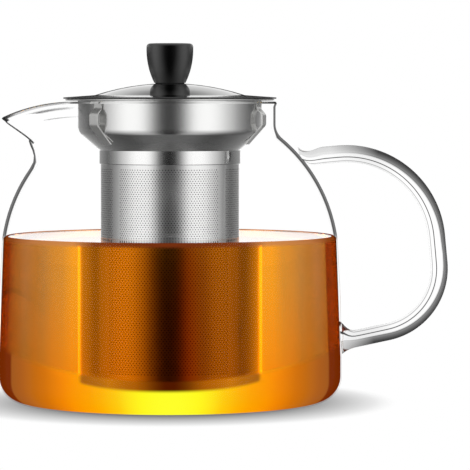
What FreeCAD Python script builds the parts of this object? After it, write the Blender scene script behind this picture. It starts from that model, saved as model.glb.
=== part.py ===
import FreeCAD, Part
import math
import os
from collections import namedtuple

import Sketcher

# Glass teapot with a lift-out steel infuser and a steel lid.
# Millimetres, +Z up. The origin is on the pot's axis at the table, the handle points to +X
# and the pouring beak to -X.

doc = FreeCAD.newDocument("glass_teapot")
dim = doc.addObject("Spreadsheet::Sheet", "dim")

SIZES = [
    # glass pot
    ("body_radius", 70.0, "outside of the pot where it is widest"),
    ("corner_radius", 10.2, "rounding from the base to the side"),
    ("side_height", 18.0, "top of the straight side, above the table"),
    ("side_lean", 1.8, "how far the side draws in up to the shoulder"),
    ("shoulder_height", 67.0, "where the shoulder starts, above the table"),
    ("shoulder_curve", 65.0, "radius of the shoulder's arc"),
    ("neck_radius", 43.0, "outside of the neck"),
    ("neck_length", 9.4, "straight neck below the rim"),
    ("neck_blend", 7.6, "hollow arc from the shoulder to the neck"),
    ("rim_height", 122.4, "top of the glass above the table"),
    ("wall", 1.8, "glass thickness"),
    ("base_thickness", 2.6, "glass thickness under the tea"),
    # pouring beak
    ("beak_reach", 25.4, "beak tip beyond the neck"),
    ("beak_tip_depth", 8.0, "underside of the tip below the rim"),
    ("beak_bend_depth", 14.0, "where the keel turns outwards, below the rim"),
    ("beak_bend_reach", 17.4, "keel beyond the neck at that bend"),
    ("beak_keel_depth", 25.4, "foot of the keel below the rim"),
    ("beak_keel_reach", 12.6, "keel beyond the neck at its foot"),
    ("beak_half_width", 22.0, "half width of the beak where it leaves the neck"),
    ("beak_tip_radius", 5.0, "rounding of the tip, seen from above"),
    ("beak_wall", 2.2, "glass thickness measured level across the keel"),
    ("beak_fall", 6.4, "how far the pouring edge falls below the rim"),
    ("beak_fall_length", 23.0, "length of that fall"),
    # handle
    ("rod_diameter", 7.0, "glass rod of the handle"),
    ("handle_gap", 36.4, "finger room between the pot's side and the rod"),
    ("handle_root_depth", 23.9, "rod centre below the rim, at the neck's radius"),
    ("handle_rise", 5.0, "degrees that the upper arm climbs"),
    ("handle_foot_height", 23.7, "rod centre above the table, at the pot's side"),
    ("handle_foot_slope", 12.0, "degrees that the lower arm climbs outwards"),
    ("handle_upper_bend", 36.9, "bend radius at the top of the handle"),
    ("handle_lower_bend", 26.5, "bend radius at the foot of the handle"),
    ("handle_shoulder_run", 29.0, "centre of the upper bend beyond the neck"),
    ("weld_diameter", 10.4, "flare of the rod where its foot is fused on"),
    ("weld_length", 4.5, "length of that flare outside the pot"),
    # infuser
    ("flange_inset", 0.6, "edge of the flange inside the neck's outside"),
    ("flange_thickness", 0.8, "flange thickness"),
    ("bowl_room", 3.8, "gap between the bowl and the neck, where the clips are"),
    ("bowl_depth", 12.4, "bend from bowl to cone, below the rim"),
    ("bowl_bend", 4.0, "outside radius of that bend"),
    ("cone_depth", 20.0, "foot of the cone below the rim"),
    ("band_depth", 25.7, "lower edge of the plain band, below the rim"),
    ("sheet", 0.6, "steel sheet of the collar"),
    ("basket_radius", 28.2, "outside of the perforated tube"),
    ("basket_sheet", 0.5, "steel sheet of the basket"),
    ("basket_lap", 4.5, "how far the tube reaches up inside the band"),
    ("basket_lift", 6.0, "basket floor above the glass"),
    ("floor_lip", 4.0, "upturned edge of the basket floor"),
    ("floor_corner", 1.6, "outside rounding of the basket floor"),
    ("floor_step", 2.0, "lower end of the tube above the underside of the floor"),
    ("hole_diameter", 3.0, "perforation, drawn coarse"),
    ("hole_pitch", 10.0, "perforation spacing, drawn coarse"),
    ("hole_margin", 4.5, "plain edge above and below the perforation"),
    # spring clips
    ("clip_width", 4.7, "leaf spring width"),
    ("clip_sheet", 0.5, "leaf spring thickness"),
    ("clip_seat", 0.3, "gap between the leaf and the bowl"),
    ("clip_room", 0.6, "gap between the leaf and the neck"),
    ("clip_top_depth", 1.2, "upper end of the leaf below the rim"),
    ("clip_tab", 1.8, "length of the welded tab"),
    ("clip_out_depth", 5.4, "upper bend of the leaf below the rim"),
    ("clip_face", 4.4, "length of the upright face that meets the glass"),
    ("clip_tip_depth", 17.6, "free end of the leaf below the rim"),
    ("clip_tip_gap", 1.4, "free end of the leaf off the cone"),
    ("clip_bend_gap", 0.3, "least room between the leaf and the bend from bowl to cone"),
    ("clip_angle", -18.0, "degrees from +X to the first clip"),
    # lid
    ("brim_overhang", 0.4, "edge of the lid beyond the neck"),
    ("brim_width", 12.9, "brim from its edge to the foot of the dome"),
    ("brim_rise", 0.9, "how far the brim climbs from its edge to the dome"),
    ("lid_sheet", 0.6, "steel sheet of the lid"),
    ("dome_rise", 4.6, "dome height above its foot"),
    ("dome_curve", 98.0, "radius of the dome's arc"),
    ("pad_radius", 7.0, "flat on the dome under the knob"),
    ("skirt_clearance", 0.6, "room between the skirt and the bowl"),
    ("skirt_height", 8.0, "skirt below the flange"),
    # knob
    ("gasket_thickness", 0.4, "ring between the knob and the dome"),
    ("knob_height", 16.0, "knob height"),
    ("knob_radius", 9.5, "knob where it is widest"),
    ("knob_foot", 6.4, "knob radius at its foot"),
    ("knob_side", 30.7, "radius of the knob's side, seen from the side"),
    ("knob_edge", 1.4, "rounding of the knob's top edge"),
    ("screw_radius", 2.0, "M4 screw"),
    ("screw_grip", 8.0, "screw length inside the bush"),
    ("screw_fit", 0.1, "room round the screw in the bush, the washer and the dome"),
    ("head_radius", 3.6, "screw head"),
    ("head_height", 2.4, "screw head"),
    ("washer_radius", 4.6, "washer under the dome"),
    ("washer_thickness", 0.8, "washer under the dome"),
    ("bush_radius", 3.2, "brass bush in the knob"),
    ("bush_length", 9.0, "brass bush in the knob"),
]

for row, (alias, number, note) in enumerate(SIZES, start=1):
    dim.set(f"A{row}", alias)
    dim.set(f"B{row}", str(number))
    dim.set(f"C{row}", note)
    dim.setAlias(f"B{row}", alias)
doc.recompute()


# Heights and radii that several pieces share, worked out from the sheet.
RIM = "dim.rim_height"
NECK_FOOT = f"({RIM} - dim.neck_length)"
NECK_BORE = "(dim.neck_radius - dim.wall)"
FLANGE_TOP = f"({RIM} + dim.flange_thickness)"
FLANGE_RADIUS = "(dim.neck_radius - dim.flange_inset)"
BOWL_RADIUS = f"({NECK_BORE} - dim.bowl_room)"
BOWL_BORE = f"({BOWL_RADIUS} - dim.sheet)"
BAND_RADIUS = "(dim.basket_radius + dim.sheet)"
BASKET_FOOT = "(dim.base_thickness + dim.basket_lift)"
BASKET_BORE = "(dim.basket_radius - dim.basket_sheet)"
TUBE_FOOT = f"({BASKET_FOOT} + dim.floor_step)"
TUBE_TOP = f"({RIM} - dim.band_depth + dim.basket_lap)"
CONE_SLOPE = f"(({BOWL_RADIUS} - {BAND_RADIUS}) / (dim.cone_depth - dim.bowl_depth))"
CLIP_FACE = f"({NECK_BORE} - dim.clip_room - dim.clip_sheet)"
CLIP_FACE_END = "(dim.clip_out_depth + dim.clip_face)"
OFF_CONE = f"({BAND_RADIUS} + {CONE_SLOPE} * (dim.cone_depth - dim.clip_tip_depth) + dim.clip_tip_gap)"
LEG_SLOPE = f"(({CLIP_FACE} - {BOWL_RADIUS} - dim.clip_bend_gap) / (dim.bowl_depth - {CLIP_FACE_END}))"
OFF_BEND = f"({CLIP_FACE} - {LEG_SLOPE} * (dim.clip_tip_depth - {CLIP_FACE_END}))"
CLIP_TIP = f"max({OFF_CONE}; {OFF_BEND})"
BRIM_RADIUS = "(dim.neck_radius + dim.brim_overhang)"
DOME_RADIUS = f"({BRIM_RADIUS} - dim.brim_width)"
PAD_UNDER = f"({FLANGE_TOP} + dim.brim_rise + dim.dome_rise)"
PAD_TOP = f"({PAD_UNDER} + dim.lid_sheet)"
KNOB_UNDER = f"({PAD_TOP} + dim.gasket_thickness)"
HANDLE_REACH = "(dim.body_radius + dim.handle_gap + dim.rod_diameter / 2)"


def value(expression):
    """Number that an expression on the sheet gives."""
    return float(dim.evalExpression(expression))


# A corner of an outline: its place, then the radius and turn (1 left, -1 right) of an arc that
# arrives at it, and whether the two edges run smoothly into each other there. A place given as
# plain numbers is a first guess, and the smooth joins settle it.
Corner = namedtuple("Corner", "across up radius turn smooth", defaults=(None, 1, False))


def bind(sketch, kind, places, expression):
    """Add a dimension to a sketch and bind it to the sheet."""
    index = sketch.addConstraint(Sketcher.Constraint(kind, *places, value(expression)))
    sketch.setExpression(f"Constraints[{index}]", expression)


def pin(sketch, geometry, end, across, up):
    """Hold one end of a sketch edge at a place given by two expressions."""
    for expression, kind, axis in ((across, "DistanceX", -2), (up, "DistanceY", -1)):
        if expression == "0":
            sketch.addConstraint(Sketcher.Constraint("PointOnObject", geometry, end, axis))
        else:
            bind(sketch, kind, (-1, 1, geometry, end), expression)


def arc_between(start, finish, radius, turn):
    """Arc of a given radius from one point to another."""
    chord = finish - start
    side = FreeCAD.Vector(-chord.y, chord.x, 0).normalize()
    height = math.sqrt(max(radius ** 2 - (chord.Length / 2) ** 2, 0))
    centre = (start + finish) / 2 + side * height * turn
    ends = (start, finish) if turn > 0 else (finish, start)
    angles = [math.atan2(point.y - centre.y, point.x - centre.x) for point in ends]
    return Part.ArcOfCircle(Part.Circle(centre, FreeCAD.Vector(0, 0, 1), radius), *angles)


def draw(sketch, places, closed=True):
    """Draw an outline of lines and arcs from corner to corner, and return its edges."""
    corners = [Corner(*place) for place in places]
    fixed = [isinstance(corner.across, str) for corner in corners]
    points = []
    for corner, held in zip(corners, fixed):
        place = (value(corner.across), value(corner.up)) if held else (corner.across, corner.up)
        points.append(FreeCAD.Vector(*place, 0))
    edges = []
    for index in range(len(corners) if closed else len(corners) - 1):
        target = (index + 1) % len(corners)
        corner = corners[target]
        if corner.radius is None:
            geometry = sketch.addGeometry(Part.LineSegment(points[index], points[target]))
            edges.append((geometry, 1, 2))
        else:
            arc = arc_between(points[index], points[target], value(corner.radius), corner.turn)
            geometry = sketch.addGeometry(arc)
            edges.append((geometry, 1, 2) if corner.turn > 0 else (geometry, 2, 1))
            bind(sketch, "Radius", (geometry,), corner.radius)
    for index, corner in enumerate(corners):
        before = edges[index - 1] if closed or index > 0 else None
        after = edges[index] if index < len(edges) else None
        if before and after:
            kind = "Tangent" if corner.smooth else "Coincident"
            sketch.addConstraint(Sketcher.Constraint(kind, before[0], before[2], after[0], after[1]))
        if fixed[index]:
            geometry, end = after[:2] if after else (before[0], before[2])
            pin(sketch, geometry, end, corner.across, corner.up)
    return edges


def flat_sketch(body, name, role):
    """Sketch on one of a body's own origin planes."""
    sketch = body.newObject("Sketcher::SketchObject", name)
    plane = next(item for item in body.Origin.OriginFeatures if item.Role == role)
    sketch.AttachmentSupport = [(plane, "")]
    sketch.MapMode = "FlatFace"
    return sketch


def upright_sketch(name, heading):
    """Loose sketch that stands on the pot's axis, with up along Z and across at a heading from +X."""
    sketch = doc.addObject("Sketcher::SketchObject", name)
    upright = FreeCAD.Rotation(FreeCAD.Vector(1, 0, 0), 90)
    turn = FreeCAD.Rotation(FreeCAD.Vector(0, 0, 1), heading)
    sketch.Placement = FreeCAD.Placement(FreeCAD.Vector(), turn.multiply(upright))
    return sketch


def turned(name, places):
    """Body turned about the pot's axis from a closed outline of radius and height."""
    body = doc.addObject("PartDesign::Body", name)
    outline = flat_sketch(body, f"{name}_outline", "XZ_Plane")
    draw(outline, places)
    turn = body.newObject("PartDesign::Revolution", f"{name}_turn")
    turn.Profile = outline
    turn.ReferenceAxis = (outline, ["V_Axis"])
    turn.Angle = 360
    doc.recompute()
    return body


def round_edge(body, across, up, rounding):
    """Round the circular edge of a turned body that lies at a given radius and height."""
    base = body.Tip
    for index, edge in enumerate(base.Shape.Edges, start=1):
        curve = edge.Curve
        round_one = isinstance(curve, Part.Circle) and abs(curve.Radius - value(across)) < 1e-4
        if round_one and abs(curve.Center.z - value(up)) < 1e-4:
            fillet = body.newObject("PartDesign::Fillet", f"{body.Name}_round")
            fillet.Base = (base, [f"Edge{index}"])
            fillet.setExpression("Radius", rounding)
            doc.recompute()
            return
    raise RuntimeError(f"no edge to round on {body.Name}")


def glass_form(name, inset, foot, top):
    """Solid of the pot, drawn in from its outside by the inset."""
    side = f"dim.body_radius - {inset}"
    corner = f"dim.corner_radius - {inset}"
    neck = f"dim.neck_radius - {inset}"
    blend = f"dim.neck_blend + {inset}"
    side_curve = "((dim.shoulder_height - dim.side_height) ^ 2 + dim.side_lean ^ 2) / (2 * dim.side_lean)"
    shoulder_slope = math.radians(45)
    blend_foot = (
        value(neck) + value(blend) * (1 - math.cos(shoulder_slope)),
        value(NECK_FOOT) - value(blend) * math.sin(shoulder_slope),
    )
    sketch = upright_sketch(f"{name}_outline", 90)
    draw(sketch, [
        ("0", foot),
        (f"{side} - ({corner})", foot),
        (side, f"{foot} + {corner}", corner),
        (side, "dim.side_height"),
        (f"{side} - dim.side_lean", "dim.shoulder_height", side_curve),
        (*blend_foot, f"dim.shoulder_curve - {inset}", 1, True),
        (neck, NECK_FOOT, blend, -1, True),
        (neck, top),
        ("0", top),
    ])
    form = doc.addObject("Part::Revolution", name)
    form.Source = sketch
    form.Axis = FreeCAD.Vector(0, 0, 1)
    form.Angle = 360
    form.Solid = True
    return form


def beak_form(name, inset, wall, top):
    """Solid of the pouring beak: level sections, each a rounded V, from the keel's foot to the rim."""
    half_width = f"(dim.beak_half_width - {inset})"
    tip_radius = f"(dim.beak_tip_radius - {inset})"
    root = f"(sqrt({NECK_BORE} ^ 2 - dim.beak_half_width ^ 2) - dim.wall)"
    levels = [
        (f"{RIM} - dim.beak_keel_depth", "dim.beak_keel_reach"),
        (f"{RIM} - dim.beak_bend_depth", "dim.beak_bend_reach"),
        (f"{RIM} - dim.beak_tip_depth", "dim.beak_reach"),
        (top, "dim.beak_reach"),
    ]
    sections = []
    for number, (height, reach) in enumerate(levels, start=1):
        sketch = doc.addObject("Sketcher::SketchObject", f"{name}_level_{number}")
        turn = FreeCAD.Rotation(FreeCAD.Vector(0, 0, 1), 180)
        sketch.Placement = FreeCAD.Placement(FreeCAD.Vector(), turn)
        sketch.setExpression("Placement.Base.z", height)
        centre = f"dim.neck_radius + {reach} - {wall} - {tip_radius}"
        middle, radius = value(centre), value(tip_radius)
        inner, width = value(root), value(half_width)
        points = [
            FreeCAD.Vector(inner, -width, 0),
            FreeCAD.Vector(middle, -radius, 0),
            FreeCAD.Vector(middle, radius, 0),
            FreeCAD.Vector(inner, width, 0),
        ]
        lower = sketch.addGeometry(Part.LineSegment(points[0], points[1]))
        tip = sketch.addGeometry(arc_between(points[1], points[2], radius, 1))
        upper = sketch.addGeometry(Part.LineSegment(points[2], points[3]))
        back = sketch.addGeometry(Part.LineSegment(points[3], points[0]))
        sketch.addConstraint([
            Sketcher.Constraint("Tangent", lower, 2, tip, 1),
            Sketcher.Constraint("Tangent", tip, 2, upper, 1),
            Sketcher.Constraint("Coincident", upper, 2, back, 1),
            Sketcher.Constraint("Coincident", back, 2, lower, 1),
            Sketcher.Constraint("PointOnObject", tip, 3, -1),
            Sketcher.Constraint("Symmetric", back, 1, back, 2, -1),
        ])
        bind(sketch, "Radius", (tip,), tip_radius)
        bind(sketch, "DistanceX", (-1, 1, tip, 3), centre)
        pin(sketch, back, 1, root, half_width)
        sections.append(sketch)
    form = doc.addObject("Part::Loft", name)
    form.Sections = sections
    form.Solid = True
    form.Ruled = False
    return form


def boolean(kind, name, base, *tools):
    """Part boolean of solids that stay in the document."""
    if kind == "MultiFuse":
        result = doc.addObject("Part::MultiFuse", name)
        result.Shapes = [base, *tools]
    else:
        result = doc.addObject(f"Part::{kind}", name)
        result.Base = base
        result.Tool = tools[0]
    return result


def make_glass_body(outside):
    """Blown pot with a straight neck and a beak pulled out of its rim."""
    above_rim = f"{RIM} + dim.wall"
    inside = glass_form("pot_inside", "dim.wall", "dim.base_thickness", above_rim)
    beak = beak_form("beak_outside", "0", "0", RIM)
    channel = beak_form("beak_inside", "dim.wall", "dim.beak_wall", above_rim)

    trim_outline = upright_sketch("beak_trim_outline", 180)
    start = "dim.neck_radius + dim.beak_reach - dim.beak_fall_length"
    far = f"{start} + 2 * dim.beak_fall_length"
    draw(trim_outline, [
        (start, RIM),
        (far, f"{RIM} - 2 * dim.beak_fall"),
        (far, f"{RIM} + dim.beak_fall"),
    ])
    trim = doc.addObject("Part::Extrusion", "beak_trim")
    trim.Base = trim_outline
    trim.DirMode = "Normal"
    trim.Solid = True
    trim.setExpression("LengthFwd", "dim.beak_half_width")
    trim.setExpression("LengthRev", "dim.beak_half_width")

    blown = boolean("MultiFuse", "pot_blown", outside, beak)
    hollow = boolean("MultiFuse", "pot_hollow", inside, channel, trim)
    return boolean("Cut", "glass_body", blown, hollow)


def make_glass_handle(outside):
    """Glass rod bent to a D, flared at its foot, and ended where it meets the pot."""
    rod = doc.addObject("PartDesign::Body", "handle_rod")
    path = flat_sketch(rod, "handle_path", "XZ_Plane")
    foot = ("dim.body_radius - dim.wall", "dim.handle_foot_height")
    root = ("dim.neck_radius", f"{RIM} - dim.handle_root_depth")
    upper, lower = value("dim.handle_upper_bend"), value("dim.handle_lower_bend")
    upper_centre = value("dim.neck_radius + dim.handle_shoulder_run")
    lower_centre = value(f"{HANDLE_REACH} - dim.handle_lower_bend")
    edges = draw(path, [
        root,
        (upper_centre, value(root[1]), None, 1, True),
        (upper_centre + upper, value(root[1]) - upper, "dim.handle_upper_bend", -1, True),
        (lower_centre + lower, value(foot[1]) + lower, None, 1, True),
        (lower_centre, value(foot[1]), "dim.handle_lower_bend", -1, True),
        foot,
    ], closed=False)
    upper_arm, upper_bend, _, lower_bend, lower_arm = [edge[0] for edge in edges]
    bind(path, "DistanceX", (-1, 1, upper_bend, 3), "dim.neck_radius + dim.handle_shoulder_run")
    bind(path, "DistanceX", (-1, 1, lower_bend, 3), f"{HANDLE_REACH} - dim.handle_lower_bend")
    bind(path, "Angle", (-1, 1, upper_arm, 1), "dim.handle_rise * 1 deg")
    bind(path, "Angle", (-1, 1, lower_arm, 2), "dim.handle_foot_slope * 1 deg")

    circle = rod.newObject("Sketcher::SketchObject", "handle_section")
    circle.AttachmentSupport = [(path, "Edge1")]
    circle.MapMode = "NormalToEdge"
    circle.MapPathParameter = 0
    rod_radius = "dim.rod_diameter / 2"
    ring = circle.addGeometry(Part.Circle(FreeCAD.Vector(), FreeCAD.Vector(0, 0, 1), value(rod_radius)))
    circle.addConstraint(Sketcher.Constraint("Coincident", ring, 3, -1, 1))
    bind(circle, "Radius", (ring,), rod_radius)
    doc.recompute()
    pipe = rod.newObject("PartDesign::AdditivePipe", "handle_pipe")
    pipe.Profile = circle
    pipe.Spine = (path, [f"Edge{number}" for number in range(1, len(edges) + 1)])

    flare = doc.addObject("Part::Cone", "handle_flare")
    flare.setExpression("Radius1", "dim.weld_diameter / 2")
    flare.setExpression("Radius2", rod_radius)
    flare.setExpression("Height", "dim.weld_length + dim.wall")
    tilt = FreeCAD.Rotation(FreeCAD.Vector(0, 1, 0), 90 - value("dim.handle_foot_slope"))
    flare.Placement = FreeCAD.Placement(FreeCAD.Vector(value(foot[0]), 0, value(foot[1])), tilt)

    whole = boolean("MultiFuse", "handle_whole", rod, flare)
    return boolean("Cut", "glass_handle", whole, outside)


def perforate(name, body, drills):
    """Drill holes, each given as a start one sheet thickness short of the sheet and a direction."""
    tools = doc.addObject("Part::Feature", f"{name}_drills")
    radius = value("dim.hole_diameter / 2")
    length = value("3 * dim.basket_sheet")
    tools.Shape = Part.makeCompound([Part.makeCylinder(radius, length, *drill) for drill in drills])
    return boolean("Cut", name, body, tools)


def make_infuser():
    """Collar that hangs in the neck, and the perforated basket welded into it."""
    collar = turned("infuser_collar", [
        (FLANGE_RADIUS, RIM),
        (FLANGE_RADIUS, FLANGE_TOP),
        (BOWL_BORE, FLANGE_TOP),
        (BOWL_BORE, f"{RIM} - dim.bowl_depth"),
        ("dim.basket_radius", f"{RIM} - dim.cone_depth"),
        ("dim.basket_radius", f"{RIM} - dim.band_depth"),
        (BAND_RADIUS, f"{RIM} - dim.band_depth"),
        (BAND_RADIUS, f"{RIM} - dim.cone_depth"),
        (BOWL_RADIUS, f"{RIM} - dim.bowl_depth"),
        (BOWL_RADIUS, RIM),
    ])
    round_edge(collar, BOWL_RADIUS, f"{RIM} - dim.bowl_depth", "dim.bowl_bend")
    round_edge(collar, BOWL_BORE, f"{RIM} - dim.bowl_depth", "dim.bowl_bend - dim.sheet")

    tube = turned("basket_tube", [
        (BASKET_BORE, TUBE_FOOT),
        ("dim.basket_radius", TUBE_FOOT),
        ("dim.basket_radius", TUBE_TOP),
        (BASKET_BORE, TUBE_TOP),
    ])
    columns = round(2 * math.pi * value("dim.basket_radius / dim.hole_pitch"))
    row_pitch = value("dim.hole_pitch * sqrt(3) / 2")
    field = value(f"{RIM} - dim.band_depth - {TUBE_FOOT} - 2 * dim.hole_margin")
    drills = []
    for row in range(int(field / row_pitch) + 1):
        height = value(f"{TUBE_FOOT} + dim.hole_margin") + row * row_pitch
        for column in range(columns):
            angle = 2 * math.pi * (column + row % 2 / 2) / columns
            outwards = FreeCAD.Vector(math.cos(angle), math.sin(angle), 0)
            start = outwards * value(f"{BASKET_BORE} - dim.basket_sheet")
            drills.append((start + FreeCAD.Vector(0, 0, height), outwards))
    wall = perforate("basket_wall", tube, drills)

    pan = turned("basket_pan", [
        ("0", BASKET_FOOT),
        (f"{BASKET_BORE} - dim.floor_corner", BASKET_FOOT),
        (BASKET_BORE, f"{BASKET_FOOT} + dim.floor_corner", "dim.floor_corner"),
        (BASKET_BORE, f"{BASKET_FOOT} + dim.floor_lip"),
        (f"{BASKET_BORE} - dim.basket_sheet", f"{BASKET_FOOT} + dim.floor_lip"),
        (f"{BASKET_BORE} - dim.basket_sheet", f"{BASKET_FOOT} + dim.floor_corner"),
        (f"{BASKET_BORE} - dim.floor_corner", f"{BASKET_FOOT} + dim.basket_sheet",
         "dim.floor_corner - dim.basket_sheet", -1),
        ("0", f"{BASKET_FOOT} + dim.basket_sheet"),
    ])
    # The holes lie on rings, with six more on each ring than on the one inside it.
    drills = []
    for ring in range(1, int(value(f"({BASKET_BORE} - dim.hole_margin) / dim.hole_pitch")) + 1):
        columns = 6 * ring
        for column in range(columns):
            angle = 2 * math.pi * column / columns
            start = FreeCAD.Vector(math.cos(angle), math.sin(angle), 0) * ring * value("dim.hole_pitch")
            start.z = value(f"{BASKET_FOOT} - dim.basket_sheet")
            drills.append((start, FreeCAD.Vector(0, 0, 1)))
    floor = perforate("basket_floor", pan, drills)
    return [collar, wall, floor]


def make_clip(name, turn):
    """Bent leaf spring: a tab on the bowl, an upright face near the glass and a free end off the cone."""
    body = doc.addObject("PartDesign::Body", name)
    tab = f"{BOWL_RADIUS} + dim.clip_seat + dim.clip_sheet / 2"
    face = f"{CLIP_FACE} + dim.clip_sheet / 2"
    path = flat_sketch(body, f"{name}_path", "XZ_Plane")
    edges = draw(path, [
        (tab, f"{RIM} - dim.clip_top_depth"),
        (tab, f"{RIM} - dim.clip_top_depth - dim.clip_tab"),
        (face, f"{RIM} - dim.clip_out_depth"),
        (face, f"{RIM} - {CLIP_FACE_END}"),
        (f"{CLIP_TIP} + dim.clip_sheet / 2", f"{RIM} - dim.clip_tip_depth"),
    ], closed=False)
    section = flat_sketch(body, f"{name}_section", "XY_Plane")
    section.setExpression("AttachmentOffset.Base.z", f"{RIM} - dim.clip_top_depth")
    inner = f"{BOWL_RADIUS} + dim.clip_seat"
    outer = f"{inner} + dim.clip_sheet"
    half = value("dim.clip_width") / 2
    points = [
        FreeCAD.Vector(value(inner), -half, 0),
        FreeCAD.Vector(value(outer), -half, 0),
        FreeCAD.Vector(value(outer), half, 0),
        FreeCAD.Vector(value(inner), half, 0),
    ]
    sides = [section.addGeometry(Part.LineSegment(points[i], points[(i + 1) % 4])) for i in range(4)]
    for side, following in zip(sides, sides[1:] + sides[:1]):
        section.addConstraint(Sketcher.Constraint("Coincident", side, 2, following, 1))
    section.addConstraint([
        Sketcher.Constraint("Horizontal", sides[0]),
        Sketcher.Constraint("Horizontal", sides[2]),
        Sketcher.Constraint("Vertical", sides[3]),
        Sketcher.Constraint("Symmetric", sides[1], 1, sides[1], 2, -1),
    ])
    pin(section, sides[2], 1, outer, "dim.clip_width / 2")
    bind(section, "DistanceX", (-1, 1, sides[3], 1), inner)
    doc.recompute()
    leaf = body.newObject("PartDesign::AdditivePipe", f"{name}_leaf")
    leaf.Profile = section
    leaf.Spine = (path, [f"Edge{number}" for number in range(1, len(edges) + 1)])
    leaf.Transition = "Right corner"
    body.Placement = FreeCAD.Placement(FreeCAD.Vector(), FreeCAD.Rotation(FreeCAD.Vector(0, 0, 1), turn))
    doc.recompute()
    return body


def make_lid():
    """Pressed dome with a drooping brim, and the skirt under it that drops into the bowl."""
    hole = "dim.screw_radius + dim.screw_fit"
    foot = f"({FLANGE_TOP} + dim.brim_rise)"
    cover = turned("lid_cover", [
        (BRIM_RADIUS, FLANGE_TOP),
        (BRIM_RADIUS, f"{FLANGE_TOP} + dim.lid_sheet"),
        (DOME_RADIUS, f"{foot} + dim.lid_sheet"),
        ("dim.pad_radius", PAD_TOP, "dim.dome_curve"),
        (hole, PAD_TOP),
        (hole, PAD_UNDER),
        ("dim.pad_radius", PAD_UNDER),
        (DOME_RADIUS, foot, "dim.dome_curve", -1),
    ])
    outside = f"({BOWL_BORE} - dim.skirt_clearance)"
    droop = f"dim.brim_rise * ({BRIM_RADIUS} - {outside}) / dim.brim_width"
    skirt = turned("lid_skirt", [
        (outside, f"{FLANGE_TOP} - dim.skirt_height"),
        (outside, f"{FLANGE_TOP} + {droop}"),
        (f"{outside} - dim.lid_sheet", f"{FLANGE_TOP} + {droop}"),
        (f"{outside} - dim.lid_sheet", f"{FLANGE_TOP} - dim.skirt_height"),
    ])
    return [cover, skirt]


def make_knob():
    """Moulded knob on its gasket, with the bush, screw and washer that hold it to the dome."""
    hole = "dim.screw_radius + dim.screw_fit"
    top = f"{KNOB_UNDER} + dim.knob_height"
    bush_top = f"{KNOB_UNDER} + dim.bush_length"
    knob = turned("knob", [
        ("dim.bush_radius", KNOB_UNDER),
        ("dim.knob_foot", KNOB_UNDER),
        ("dim.knob_radius", f"{top} - dim.knob_edge", "dim.knob_side"),
        ("dim.knob_radius - dim.knob_edge", top, "dim.knob_edge"),
        ("0", top),
        ("0", bush_top),
        ("dim.bush_radius", bush_top),
    ])
    gasket = turned("knob_gasket", [
        (hole, PAD_TOP),
        ("dim.knob_foot - dim.gasket_thickness", PAD_TOP),
        ("dim.knob_foot - dim.gasket_thickness", KNOB_UNDER),
        (hole, KNOB_UNDER),
    ])
    bush = turned("knob_insert", [
        (hole, KNOB_UNDER),
        ("dim.bush_radius", KNOB_UNDER),
        ("dim.bush_radius", bush_top),
        (hole, bush_top),
    ])
    washer_under = f"{PAD_UNDER} - dim.washer_thickness"
    washer = turned("knob_washer", [
        (hole, washer_under),
        ("dim.washer_radius", washer_under),
        ("dim.washer_radius", PAD_UNDER),
        (hole, PAD_UNDER),
    ])
    screw = turned("knob_screw", [
        ("0", f"{washer_under} - dim.head_height"),
        ("dim.head_radius", f"{washer_under} - dim.head_height"),
        ("dim.head_radius", washer_under),
        ("dim.screw_radius", washer_under),
        ("dim.screw_radius", f"{KNOB_UNDER} + dim.screw_grip"),
        ("0", f"{KNOB_UNDER} + dim.screw_grip"),
    ])
    return [knob, gasket, bush, washer, screw]


pot_outside = glass_form("pot_outside", "0", "0", RIM)
nodes = [make_glass_body(pot_outside), make_glass_handle(pot_outside)]
nodes += make_infuser()
clip_names = ("clip_right", "clip_rear", "clip_front")
for step, clip_name in enumerate(clip_names):
    nodes.append(make_clip(clip_name, value("dim.clip_angle") + step * 360 / len(clip_names)))
nodes += make_lid()
nodes += make_knob()
doc.recompute()

for item in doc.Objects:
    if "Invalid" in item.State or "Error" in item.State:
        raise RuntimeError(f"{item.Name} failed: {item.State}")
for node in nodes:
    shape = node.Shape
    if shape.isNull() or not shape.isValid() or len(shape.Solids) != 1:
        raise RuntimeError(f"{node.Label} is not one valid solid")
os.makedirs("parts", exist_ok=True)
for node in nodes:
    node.Shape.exportStep(f"parts/{node.Label}.step")
    box = node.Shape.BoundBox
    print(f"{node.Label}: {node.Shape.Volume:.1f} mm3, z {box.ZMin:.2f} to {box.ZMax:.2f}")
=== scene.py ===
import math

import bmesh
import bpy
import numpy as np
from mathutils import Matrix, Vector


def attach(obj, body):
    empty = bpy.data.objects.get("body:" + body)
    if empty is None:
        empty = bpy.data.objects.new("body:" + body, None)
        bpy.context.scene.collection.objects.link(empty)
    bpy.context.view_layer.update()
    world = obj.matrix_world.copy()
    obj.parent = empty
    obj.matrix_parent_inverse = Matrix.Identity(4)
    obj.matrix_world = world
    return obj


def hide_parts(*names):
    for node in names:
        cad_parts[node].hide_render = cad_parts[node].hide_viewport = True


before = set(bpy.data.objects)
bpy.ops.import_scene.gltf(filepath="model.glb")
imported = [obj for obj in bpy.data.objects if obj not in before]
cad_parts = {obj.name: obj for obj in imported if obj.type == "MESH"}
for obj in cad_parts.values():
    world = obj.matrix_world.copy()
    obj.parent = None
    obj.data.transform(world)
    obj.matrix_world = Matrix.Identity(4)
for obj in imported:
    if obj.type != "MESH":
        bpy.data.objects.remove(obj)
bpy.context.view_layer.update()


# Glass pot: one piece of borosilicate glass, blown into a turned mould, with the neck cut and
# fire-polished and the beak pulled out of the hot rim. Clear, with painted dark edges where the wall
# is seen along its length.
MM = 0.001
scene = bpy.context.scene


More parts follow.
